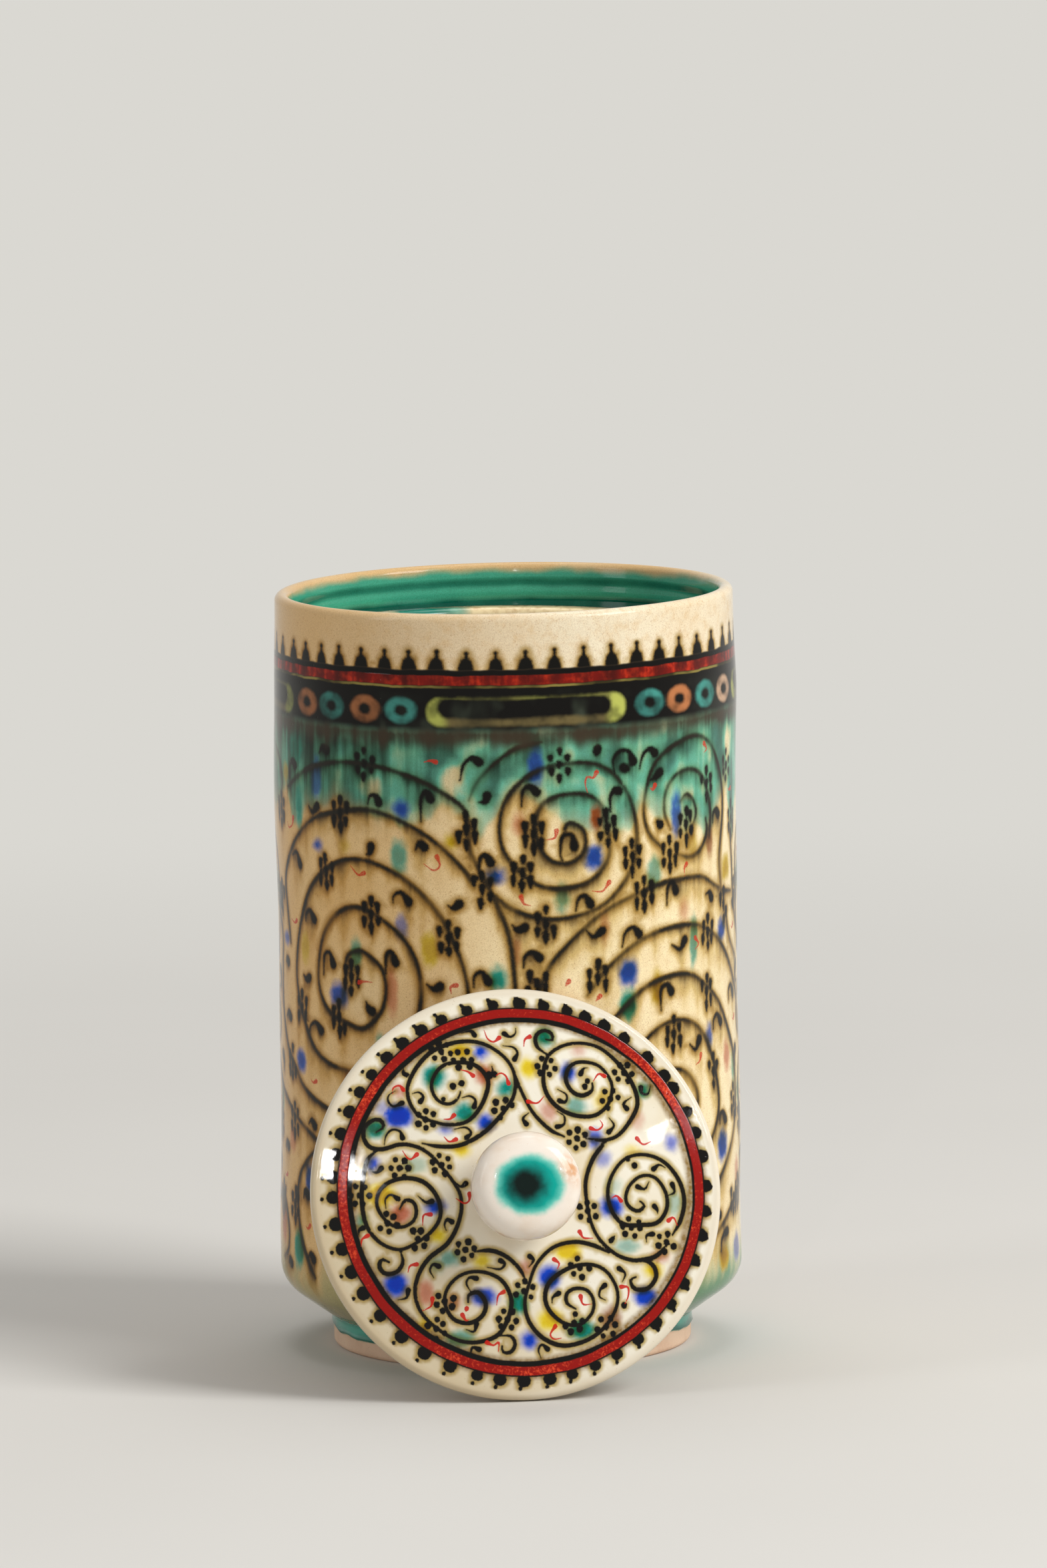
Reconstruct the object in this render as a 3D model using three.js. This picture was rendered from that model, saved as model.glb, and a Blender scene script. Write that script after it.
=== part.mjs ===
// A thrown and painted earthenware storage jar, with its lid taken off and leaned on the front of
// the wall. Millimetres, +Z up. The origin is on the ground, in the middle of what the jar and the
// lid cover together, and the lid stands on the -Y side with its knob to the front.
// The potter throws the walled body, then lutes a foot ring below it and a seat ring inside its
// mouth. The lid is a domed plate with a mushroom knob.

import * as THREE from 'three';

// The body, outside
const jarHeight = 200;          // from the ground to the crest of the lip
const baseRadius = 60.95;       // just above the chamfer
const waistRadius = 60.4;       // where the wall is narrowest
const waistHeight = 108;
const bandRadius = 60.7;        // at the painted border
const bandHeight = 172;
const rimRadius = 60.2;         // where the lip starts to round over
const lipThickness = 3.9;
const chamferHeight = 9.2;      // of the cut from the wall down to the foot
const chamferSoftness = 5;      // how far the worn corner reaches up the wall and down the cut

// The body, inside
const wall = 4.8;               // thickness
const galleryWall = 4.5;        // thickness above the seat
const floorThickness = 6.5;
const floorFillet = 13;         // between the wall and the floor
const ringPitch = 27;           // finger rings left by throwing
const ringDepth = 0.5;
const galleryRingPitch = 4.6;   // the finer rings above the seat
const galleryRingDepth = 0.35;

// The foot ring, luted below the body
const footRadius = 47.2;
const footHeight = 8.3;
const footWidth = 5.7;
const footBevel = 1.4;          // worn edge at the ground
const footFlare = 0.8;          // where it spreads to meet the body

// The seat ring, luted inside the mouth for the lid to sit on
const seatDrop = 11.2;          // from the crest of the lip down to the seat
const seatWidth = 6;
const seatNose = 1.9;           // rounding of its inner edge
const seatDepth = 6;            // at the wall
const luteGap = 0.3;            // between the ring and the wall

// The lid plate
const lidClearance = 2.4;       // all round, in the mouth
const lidEdge = 4.4;            // thickness at the edge
const lidEdgeRound = 1.7;
const lidBorder = 7.3;          // width of the flatter border
const lidBorderRise = 1.1;
const lidDome = 4.4;            // from the border up to the pad under the knob
const lidPad = 9.5;             // radius of that pad
const lidSeatWidth = 8;         // the flat ring below that meets the seat
const lidHollow = 4.6;          // depth of the hollow inside that ring

// The knob
const knobRadius = 14.1;
const knobNeck = 7.5;           // radius
const knobNeckHeight = 4.6;
const knobNeckFlare = 1.2;      // where the neck spreads on to the pad
const knobUnderside = 6.2;      // from the neck up to the widest place
const knobCrown = 8;            // from the widest place up to the top

// How the lid leans
const leanAngle = THREE.MathUtils.degToRad(15.7);   // back from upright
const turnAngle = THREE.MathUtils.degToRad(8.2);    // its face turns this far to the right
const lidSideways = 0.9;                            // its middle is right of the jar's axis
const restGap = 0.3;                                // between its edge and the wall
const knobGap = 0.3;                                // between the knob and its pad

const jarFacets = 56;
const knobFacets = 36;

// Worked out from the sizes above
const chamferTop = footHeight + chamferHeight;
const chamferFoot = footRadius + footFlare;
const lipBase = jarHeight - lipThickness / 2;
const lipInside = rimRadius - lipThickness;
const galleryRadius = rimRadius - galleryWall;
const seatTop = jarHeight - seatDrop;
const seatOuter = galleryRadius - luteGap;
const seatInner = seatOuter - seatWidth;
const lidRadius = galleryRadius - lidClearance;
const lidCrown = lidEdge + lidBorderRise + lidDome;
const knobHeight = knobNeckHeight + knobUnderside + knobCrown;

// Drop the points that repeat the one before them.
function tidy(points) {
  return points.filter((point, i) => i === 0 || point.distanceTo(points[i - 1]) > 0.001);
}

// Turn an outline of (radius, height) points about the Z axis. It runs up the outside.
function revolve(points, facets) {
  return new THREE.LatheGeometry(tidy(points), facets).rotateX(Math.PI / 2);
}

// Radius of a line of (radius, height) points at one height.
function radiusAt(points, height) {
  for (let i = 1; i < points.length; i += 1) {
    const low = points[i - 1];
    const high = points[i];
    if (height >= low.y && height <= high.y) {
      const share = (height - low.y) / (high.y - low.y);
      return low.x + share * (high.x - low.x);
    }
  }
  return 0;
}

// Finger rings pressed into an inside wall, one scallop after another, from the top down.
function addRings(path, top, bottom, pitch, depth, radiusOf) {
  const count = Math.max(1, Math.round((top - bottom) / pitch));
  const step = (top - bottom) / count;
  for (let i = 0; i < count; i += 1) {
    const middle = top - (i + 0.5) * step;
    const end = top - (i + 1) * step;
    path.quadraticCurveTo(radiusOf(middle) + 2 * depth, middle, radiusOf(end), end);
  }
}

// The outside of the body, from the foot up over the lip
const chamfer = new THREE.Vector2(baseRadius - chamferFoot, chamferHeight).normalize();
const outside = new THREE.Path();
outside.moveTo(0, footHeight);
outside.lineTo(chamferFoot, footHeight);
outside.lineTo(baseRadius - chamfer.x * chamferSoftness, chamferTop - chamfer.y * chamferSoftness);
const wallBase = chamferTop + chamferSoftness;
const toWaist = (waistHeight - wallBase) / 3;
const toBand = (bandHeight - waistHeight) / 3;
const toRim = (lipBase - bandHeight) / 3;
outside.quadraticCurveTo(baseRadius, chamferTop, baseRadius, wallBase);
outside.bezierCurveTo(
  baseRadius, wallBase + toWaist,
  waistRadius, waistHeight - toWaist,
  waistRadius, waistHeight,
);
outside.bezierCurveTo(
  waistRadius, waistHeight + toBand,
  bandRadius, bandHeight - toBand,
  bandRadius, bandHeight,
);
outside.bezierCurveTo(
  bandRadius, bandHeight + toRim,
  rimRadius, lipBase - toRim,
  rimRadius, lipBase,
);
const wallLine = outside.getPoints(4);
const lip = new THREE.Path();
lip.absarc(rimRadius - lipThickness / 2, lipBase, lipThickness / 2, 0, Math.PI, false);

// The inside of the body, from the lip down to the floor
const floorTop = footHeight + floorThickness;
const filletTop = floorTop + floorFillet;
const galleryTop = lipBase - 1.5;
const ringsTop = seatTop - seatDepth - 1;
const insideAt = (height) => radiusAt(wallLine, height) - wall;
const inside = new THREE.Path();
inside.moveTo(lipInside, lipBase);
inside.lineTo(galleryRadius, galleryTop);
addRings(inside, galleryTop, seatTop + 1, galleryRingPitch, galleryRingDepth, () => galleryRadius);
inside.lineTo(galleryRadius, seatTop - seatDepth);
inside.lineTo(insideAt(ringsTop), ringsTop);
addRings(inside, ringsTop, filletTop, ringPitch, ringDepth, insideAt);
inside.absarc(insideAt(filletTop) - floorFillet, filletTop, floorFillet, 0, -Math.PI / 2, true);
inside.lineTo(0, floorTop);

const body = revolve([...wallLine, ...lip.getPoints(4), ...inside.getPoints(3)], jarFacets);

// The foot ring
const foot = new THREE.Path();
foot.moveTo(footRadius - footWidth + footBevel / 2, 0);
foot.lineTo(footRadius - footBevel, 0);
foot.quadraticCurveTo(footRadius, 0, footRadius, footBevel);
foot.lineTo(footRadius, footHeight - 2 * footFlare);
foot.quadraticCurveTo(footRadius, footHeight - footFlare, chamferFoot, footHeight);
foot.lineTo(footRadius - footWidth - footFlare, footHeight);
foot.lineTo(footRadius - footWidth, footHeight - 2 * footFlare);
foot.lineTo(footRadius - footWidth, footBevel / 2);
foot.closePath();
const footRing = revolve(foot.getPoints(3), jarFacets);

// The seat ring, flat above, rounded at its nose and sloping into the wall below
const seat = new THREE.Path();
seat.moveTo(seatOuter, seatTop - seatDepth);
seat.lineTo(seatOuter, seatTop);
seat.lineTo(seatInner + seatNose, seatTop);
seat.absarc(seatInner + seatNose, seatTop - seatNose, seatNose, Math.PI / 2, 1.35 * Math.PI, false);
seat.closePath();
const seatRing = revolve(seat.getPoints(4), jarFacets);

// The lid plate, standing on its seat
const lidFlat = lidRadius - lidEdgeRound;
const borderInside = lidRadius - lidBorder;
const hollowRadius = lidRadius - lidSeatWidth;
const plate = new THREE.Path();
plate.moveTo(0, lidHollow);
plate.bezierCurveTo(
  hollowRadius * 0.5, lidHollow,
  hollowRadius * 0.85, lidHollow * 0.4,
  hollowRadius, 0,
);
plate.lineTo(lidFlat, 0);
plate.absarc(lidFlat, lidEdgeRound, lidEdgeRound, -Math.PI / 2, 0, false);
plate.absarc(lidFlat, lidEdge - lidEdgeRound, lidEdgeRound, 0, Math.PI / 2, false);
plate.lineTo(borderInside, lidEdge + lidBorderRise);
plate.bezierCurveTo(
  borderInside * 0.75, lidEdge + lidBorderRise + lidDome * 0.45,
  borderInside * 0.5, lidCrown,
  lidPad, lidCrown,
);
plate.lineTo(0, lidCrown);
const lidPlate = revolve(plate.getPoints(4), jarFacets);

// The knob, standing on its own foot
const mushroom = new THREE.Path();
mushroom.moveTo(0, 0);
mushroom.lineTo(knobNeck + knobNeckFlare, 0);
mushroom.quadraticCurveTo(knobNeck, 0, knobNeck, 2 * knobNeckFlare);
mushroom.lineTo(knobNeck, knobNeckHeight);
mushroom.bezierCurveTo(
  knobRadius * 0.9, knobNeckHeight,
  knobRadius, knobNeckHeight + knobUnderside * 0.55,
  knobRadius, knobNeckHeight + knobUnderside,
);
mushroom.bezierCurveTo(
  knobRadius, knobNeckHeight + knobUnderside + knobCrown * 0.62,
  knobRadius * 0.6, knobHeight,
  0, knobHeight,
);
const knob = revolve(mushroom.getPoints(6), knobFacets);

// Clay and glaze
const paintedGlaze = new THREE.MeshStandardMaterial({ color: 0xd9bf98, roughness: 0.18, metalness: 0 });
const bareClay = new THREE.MeshStandardMaterial({ color: 0xdcbc9c, roughness: 0.85, metalness: 0 });
const seatGlaze = new THREE.MeshStandardMaterial({ color: 0x2f8470, roughness: 0.2, metalness: 0 });
const lidGlaze = new THREE.MeshStandardMaterial({ color: 0xeee6d4, roughness: 0.16, metalness: 0 });
const knobGlaze = new THREE.MeshStandardMaterial({ color: 0xf0e4d7, roughness: 0.16, metalness: 0 });

function piece(name, geometry, material) {
  const mesh = new THREE.Mesh(geometry, material);
  mesh.name = name;
  return mesh;
}

const jar = new THREE.Group();
jar.add(piece('jar_body', body, paintedGlaze));
jar.add(piece('foot_ring', footRing, bareClay));
jar.add(piece('lid_seat_ring', seatRing, seatGlaze));

const knobMesh = piece('lid_knob', knob, knobGlaze);
knobMesh.position.z = lidCrown + knobGap;
const lid = new THREE.Group();
lid.add(piece('lid_plate', lidPlate, lidGlaze));
lid.add(knobMesh);

// The lid stands on its edge on the ground, with the knob to the front.
lid.rotation.set(Math.PI / 2 - leanAngle, 0, turnAngle, 'ZYX');
lid.position.x = lidSideways;
lid.updateMatrixWorld(true);
lid.position.z = -new THREE.Box3().setFromObject(lid, true).min.z;
lid.updateMatrixWorld(true);

// It comes forward until its edge just clears the wall.
let forward = 0;
const corner = new THREE.Vector3();
lid.traverse((part) => {
  if (!part.isMesh) return;
  const places = part.geometry.getAttribute('position');
  for (let i = 0; i < places.count; i += 1) {
    corner.fromBufferAttribute(places, i).applyMatrix4(part.matrixWorld);
    const reach = radiusAt(wallLine, corner.z) + restGap;
    if (Math.abs(corner.x) < reach) {
      forward = Math.max(forward, corner.y + Math.sqrt(reach ** 2 - corner.x ** 2));
    }
  }
});
lid.position.y = -forward;

// The origin goes under the middle of the whole set.
const vessel = new THREE.Group();
vessel.add(jar, lid);
vessel.updateMatrixWorld(true);
const middle = new THREE.Box3().setFromObject(vessel, true).getCenter(new THREE.Vector3());
vessel.position.set(-middle.x, -middle.y, 0);

export default vessel;
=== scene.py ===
import math

import bpy
import numpy as np
from mathutils import Matrix, Vector
from mathutils.geometry import delaunay_2d_cdt


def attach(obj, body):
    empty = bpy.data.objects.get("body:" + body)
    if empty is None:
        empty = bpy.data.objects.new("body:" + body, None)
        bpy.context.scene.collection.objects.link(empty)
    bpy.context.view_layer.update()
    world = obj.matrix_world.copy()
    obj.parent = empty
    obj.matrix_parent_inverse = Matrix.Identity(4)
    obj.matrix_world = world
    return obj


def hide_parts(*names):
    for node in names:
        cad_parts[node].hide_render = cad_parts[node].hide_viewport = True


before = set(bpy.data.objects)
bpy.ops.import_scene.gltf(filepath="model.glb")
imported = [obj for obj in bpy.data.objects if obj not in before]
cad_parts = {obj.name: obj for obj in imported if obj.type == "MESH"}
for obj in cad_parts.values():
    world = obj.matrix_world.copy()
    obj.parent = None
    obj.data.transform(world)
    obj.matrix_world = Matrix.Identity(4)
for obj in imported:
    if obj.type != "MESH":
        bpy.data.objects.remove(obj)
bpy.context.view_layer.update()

mm = 0.001


def srgb(red, green, blue):  # 0-255 as seen, to the linear values that Blender wants
    out = []
    for value in (red, green, blue):
        v = value / 255
        out.append(v / 12.92 if v <= 0.04045 else ((v + 0.055) / 1.055) ** 2.4)
    return (*out, 1.0)


# the camera, at the height and distance that the picture was taken from

camera = {
    "jarAxis": 21.588,       # y of the jar's axis
    "distance": 3095.1,
    "height": 561.3,
    "turn": 0.086,
    "down": 7.608,
    "roll": -0.7025,
    "lens": 272.4,
    "sensor": 36,
    "sight": 60,             # metres
}


def makeCamera(c):
    turn, down, roll = (math.radians(c[k]) for k in ("turn", "down", "roll"))
    ahead = Vector((math.sin(turn) * math.cos(down), math.cos(turn) * math.cos(down), -math.sin(down)))
    right = Vector((math.cos(turn), -math.sin(turn), 0))
    up = right.cross(ahead)
    right, up = (right * math.cos(roll) + up * math.sin(roll), up * math.cos(roll) - right * math.sin(roll))
    data = bpy.data.cameras.new("camera")
    data.lens = c["lens"]
    data.sensor_width = c["sensor"]
    data.clip_end = c["sight"]
    eye = bpy.data.objects.new("camera", data)
    place = Matrix((right, up, -ahead)).transposed().to_4x4()
    place.translation = Vector((0, c["jarAxis"] - c["distance"], c["height"])) * mm
    eye.matrix_world = place
    bpy.context.collection.objects.link(eye)
    bpy.context.scene.camera = eye


makeCamera(camera)
print("camera placed")


# outlines, as (radius, height) in millimetres

def arc(middle, radius, start, end, count):
    a = np.radians(np.linspace(start, end, count))
    return np.c_[middle[0] + radius * np.cos(a), middle[1] + radius * np.sin(a)]


def bend(a, b, c, d, count):
    t = np.linspace(0, 1, count)[:, None]
    a, b, c, d = (np.array(p, float) for p in (a, b, c, d))
    return (1 - t) ** 3 * a + 3 * (1 - t) ** 2 * t * b + 3 * (1 - t) * t ** 2 * c + t ** 3 * d


def lineUp(*parts):  # joins runs of points and drops the doubles
    line = np.vstack([np.array(part, float) for part in parts])
    return line[np.r_[True, np.hypot(*np.diff(line, axis=0).T) > 1e-4]]


def lengths(line):
    return np.r_[0, np.cumsum(np.hypot(*np.diff(line, axis=0).T))]


def wayAlong(outline, radius, height):  # how far along the outline its nearest point lies
    gaps = (radius[:, None] - outline[:, 0]) ** 2 + (height[:, None] - outline[:, 1]) ** 2
    return lengths(outline)[np.argmin(gaps, axis=1)]


def smoothStep(value, low, high):
    t = np.clip((value - low) / (high - low), 0, 1)
    return t * t * (3 - 2 * t)


# meshes

seams = {"spun": 0.004, "welded": 0.01}  # points nearer than this many mm are one


def selectOnly(*objects):
    bpy.ops.object.select_all(action="DESELECT")
    for obj in objects:
        obj.select_set(True)
    bpy.context.view_layer.objects.active = objects[0]


def shadeSmooth(obj):
    selectOnly(obj)
    bpy.ops.object.shade_smooth()


def newObject(name, points, edges=(), faces=()):
    mesh = bpy.data.meshes.new(name)
    mesh.from_pydata([tuple(p) for p in points], edges, faces)
    obj = bpy.data.objects.new(name, mesh)
    bpy.context.collection.objects.link(obj)
    return obj


def closeSeams(gap):  # of the mesh being edited, and turns its faces outwards
    bpy.ops.mesh.select_all(action="SELECT")
    bpy.ops.mesh.remove_doubles(threshold=gap * mm)
    bpy.ops.mesh.normals_make_consistent(inside=False)
    bpy.ops.object.mode_set(mode="OBJECT")


def spinOutline(name, outline, columns):
    # the outline stands behind the axis, so its first column meets the painted wall's seam
    edges = [(i, i + 1) for i in range(len(outline) - 1)]
    obj = newObject(name, [(0, r * mm, z * mm) for r, z in outline], edges)
    selectOnly(obj)
    bpy.ops.object.mode_set(mode="EDIT")
    bpy.ops.mesh.select_all(action="SELECT")
    bpy.ops.mesh.spin(steps=columns, angle=2 * math.pi, center=(0, 0, 0), axis=(0, 0, 1))
    closeSeams(seams["spun"])
    return obj


def weld(target, *others):
    selectOnly(target, *others)
    bpy.ops.object.join()
    bpy.ops.object.mode_set(mode="EDIT")
    closeSeams(seams["welded"])
    shadeSmooth(target)


def places(obj):
    out = np.empty(len(obj.data.vertices) * 3)
    obj.data.vertices.foreach_get("co", out)
    return out.reshape(-1, 3)


def setPlaces(obj, points):
    obj.data.vertices.foreach_set("co", np.asarray(points, float).ravel())
    obj.data.update()


def standOnAxis(obj, points):  # the jar's pieces are made round the origin
    setPlaces(obj, points + (0, camera["jarAxis"] * mm, 0))


def measure(obj):  # its points in mm, how far each lies round from the front, and how far out
    spot = places(obj) / mm
    return spot, np.arctan2(spot[:, 0], -spot[:, 1]), np.hypot(spot[:, 0], spot[:, 1])


def setField(obj, name, values):
    values = np.asarray(values, float)
    kind, key = ("FLOAT_COLOR", "color") if values.ndim == 2 else ("FLOAT", "value")
    layer = obj.data.attributes.get(name) or obj.data.attributes.new(name, kind, "POINT")
    layer.data.foreach_set(key, values.ravel())


def leaveUnpainted(obj, fields, known):  # far from every stroke, but for the values that are known
    count = len(obj.data.vertices)
    for name, values in fields.items():
        blank = np.zeros((count, 4)) if values.ndim == 2 else np.full(count, known.get(name, 9.0))
        setField(obj, name, blank)


# brush strokes, on a flat drawing in millimetres: the middle of each, and half its width all along

brush = {
    "taper": 4,              # mm over which a line thickens from either end
    "waver": 0.13,           # of its width
    "waverLength": 7.3,
    "blobFall": 1.5,         # how soon a hook's blob has run out, in widths of the blob
    "tailLoss": 0.55,
}


def readPoints(text):
    return np.array([[float(v) for v in pair.split()] for pair in text.split(",")])


def smoothPath(points, step):
    p = np.array(points, float)
    ends = np.vstack([2 * p[0] - p[1], p, 2 * p[-1] - p[-2]])
    t = np.linspace(0, 1, 10, endpoint=False)[:, None]
    dense = []
    for a, b, c, d in zip(ends, ends[1:], ends[2:], ends[3:]):
        dense.append(0.5 * (2 * b + (c - a) * t + (2 * a - 5 * b + 4 * c - d) * t ** 2
                            + (3 * b - a - 3 * c + d) * t ** 3))
    dense = np.vstack(dense + [p[-1:]])
    along = lengths(dense)
    even = np.linspace(0, along[-1], max(3, math.ceil(along[-1] / step) + 1))
    return np.c_[np.interp(even, along, dense[:, 0]), np.interp(even, along, dense[:, 1])], even


def scrollLine(text, half, step=1.1):  # a long line, thinner at both ends, with the hand's wavering
    path, along = smoothPath(readPoints(text), step)
    ends = np.minimum(along, along[-1] - along)
    waver = 1 + brush["waver"] * np.sin(along / brush["waverLength"] + len(text))
    return path, half * (0.5 + 0.5 * smoothStep(ends, 0, brush["taper"])) * waver


def hookMark(text, blob, tail, step=0.7):  # starts as a blob and runs out to a thin tail
    path, along = smoothPath(readPoints(text), step)
    width = tail + (blob - tail) * np.exp(-(along / (blob * brush["blobFall"])) ** 2)
    width *= 1 - brush["tailLoss"] * smoothStep(along, along[-1] * 0.5, along[-1])
    return path, width


def dotMark(x, y, half, drop):  # pressed down at the top, and drawn down a little
    path = np.array([[x, y + drop * 0.25], [x, y - drop * 0.4], [x + drop * 0.03, y - drop * 1.15]])
    return path, np.array([half, half * 0.9, half * 0.5])


def moved(stroke, shift=(0, 0), mirror=False):
    path = stroke[0] * ((-1, 1) if mirror else (1, 1)) + np.array(shift)
    return path, stroke[1]


def distanceTo(points, strokes, reach):  # millimetres to the nearest stroke's edge, less than 0 on it
    best = np.full(len(points), float(reach))
    order = np.argsort(points[:, 0])
    ranked = points[order, 0]
    batch = 8
    for path, half in strokes:
        for start in range(0, max(1, len(path) - 1), batch):
            line, width = path[start:start + batch + 1], half[start:start + batch + 1]
            low, high = line.min(0) - reach - width.max(), line.max(0) + reach + width.max()
            near = order[np.searchsorted(ranked, low[0]):np.searchsorted(ranked, high[0])]
            near = near[(points[near, 1] > low[1]) & (points[near, 1] < high[1])]
            if not len(near):
                continue
            side = line[1:] - line[:-1]
            away = points[near][:, None, :] - line[:-1]
            share = np.clip((away * side).sum(2) / ((side ** 2).sum(1) + 1e-9), 0, 1)
            gap = np.hypot(*np.moveaxis(away - share[..., None] * side, 2, 0))
            gap -= width[:-1] + (width[1:] - width[:-1]) * share
            best[near] = np.minimum(best[near], gap.min(1))
    return best


roundDot = np.c_[np.cos(np.arange(12) * math.pi / 6), np.sin(np.arange(12) * math.pi / 6)]


def dotPoints(path, half, margin):  # a ring of points round a dot, or one at each end if it is long
    isLong = np.hypot(*(path[-1] - path[0])) > 0.8
    out = [path]
    for end in ((0, -1) if isLong else (len(path) // 2,)):
        ring = path[end] + roundDot * (half[end] + margin)
        out.append(ring[distanceTo(ring, [(path, half)], 3) > margin * 0.8] if isLong else ring)
    return out


def linePoints(path, half, margin):  # along the middle and both edges, and round both ends
    way = np.gradient(path, axis=0)
    way /= np.hypot(*way.T)[:, None] + 1e-9
    side = np.c_[-way[:, 1], way[:, 0]] * (half + margin)[:, None]
    out = [path, path + side, path - side]
    for end, turn in ((0, -1), (-1, 1)):
        for angle in (-66, -33, 0, 33, 66):
            a = math.radians(angle)
            x, y = way[end] * turn
            spin = np.array([x * math.cos(a) - y * math.sin(a), x * math.sin(a) + y * math.cos(a)])
            out.append((path[end] + spin * (half[end] + margin))[None])
    return out


def pointsAlong(strokes, margin):  # mesh points on the middle of each stroke and just off both edges
    out = []
    for path, half in strokes:
        out += (dotPoints if len(path) < 4 else linePoints)(path, half, margin)
    return np.vstack(out)


def thinOut(points, gap):  # keeps the first point in each small cell
    cells = np.floor(points / gap).astype(np.int64)
    _, first = np.unique(cells[:, 0] * 100003 + cells[:, 1], return_index=True)
    return points[np.sort(first)]


def ovals(text):  # "x y width height" in mm, and a strength
    return [[float(v) for v in item.split()] for item in text.split(",")]


def ovalRings(spots):
    a = np.linspace(0, 2 * math.pi, 9)[:-1]
    out = []
    for x, y, w, h, _ in spots:
        out.append(np.array([[x, y]]))
        out.append(np.c_[x + w / 2 * np.cos(a), y + h / 2 * np.sin(a)])
        out.append(np.c_[x + w / 2 * 1.5 * np.cos(a + 0.4), y + h / 2 * 1.5 * np.sin(a + 0.4)])
    return np.vstack(out)


def keepNearer(best, colour, gap, tint):  # tint is one colour, or one for each point
    nearer = gap < best
    best[nearer] = gap[nearer]
    colour[nearer] = tint[nearer] if np.ndim(tint) == 2 else tint


def nearestSpot(points, spots, tints):  # distance to the nearest wash spot, and its colour and strength
    best = np.full(len(points), 9.0)
    colour = np.tile(np.array(tints[0], float), (len(points), 1))
    for (x, y, w, h, strength), tint in zip(spots, tints):
        far = np.hypot((points[:, 0] - x) / (w / 2), (points[:, 1] - y) / (h / 2))
        keepNearer(best, colour, (far - 1) * math.sqrt(w * h) / 2, (*tint[:3], strength))
    return best, colour


def spotsOf(drawing, names):
    spots, tints = [], []
    for name in names:
        for spot in ovals(drawing[name]):
            spots.append(spot)
            tints.append(srgb(*names[name]))
    return spots, tints


def clusterDots(x, y, half, gap, drop, stretch, start, draw):  # a middle dot and up to six round it
    out = [dotMark(x, y, half, drop)]
    for i in range(6):
        if draw.random() < 0.08:
            continue
        a = start + i * math.pi / 3 + draw.normal(0, 0.09)
        r = gap * draw.uniform(0.92, 1.1)
        size, fall = half * draw.uniform(0.85, 1.12), drop * draw.uniform(0.6, 1.3)
        out.append(dotMark(x + r * math.cos(a), y + r * stretch * math.sin(a), size, fall))
    return out


def fillSheet(points, border, grid, strokes, clear):  # adds an even background grid and triangulates
    far = distanceTo(grid, strokes, clear) >= clear * 0.999
    cloud = np.vstack([border, thinOut(np.vstack([points, grid[far]]), 0.3)])
    sheet = delaunay_2d_cdt([Vector(p) for p in cloud], [], [], 0, 1e-6)
    flat = np.array([tuple(v) for v in sheet[0]])
    return flat, [tuple(f) for f in sheet[2]]


def pointRow(x, y):  # points side by side at one height
    return np.c_[x, np.full(len(x), y)]


def hexGrid(low, high, step):
    rows = []
    for i, y in enumerate(np.arange(low[1], high[1], step * 0.866)):
        rows.append(pointRow(np.arange(low[0] + (i % 2) * step / 2, high[0], step), y))
    return np.vstack(rows)


# the painted body of the jar

jarShape = {
    "height": 200, "base": 60.95, "waist": 60.4, "waistHeight": 108,
    "band": 60.7, "bandHeight": 172, "rim": 60.2, "lip": 3.9,
    "foot": 48.0, "footHeight": 8.3, "chamferTop": 17.5, "soft": 5.0,
    "wall": 4.8, "gallery": 55.7, "seatTop": 188.8, "seatDepth": 6,
    "floorTop": 14.8, "fillet": 13,
    "ringPitch": 27, "ringDepth": 0.5,            # the finger rings inside
    "fineRingPitch": 4.4, "fineRingDepth": 0.17,  # and the finer ones above the seat
    "columns": 192,
    "drawRadius": 60.7,      # one mm on the drawing is one mm round the wall here
    "rimTilt": 0.55,         # the mouth stands a little higher on the right
    "unevenness": 0.16,
    # rows of mesh points at heights where the wall or the border changes
    "rows": (20, 22, 24, 166.2, 168.4, 170.6, 181, 182.6, 184.6, 186),
    "windowRows": (171, 171.9, 172.8, 173.7, 174.6, 175.5, 176.4, 177.3, 178.2, 179.1),
    "windowStep": 0.8, "seamStep": 1.1, "gridStep": 2.1,
}


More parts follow.
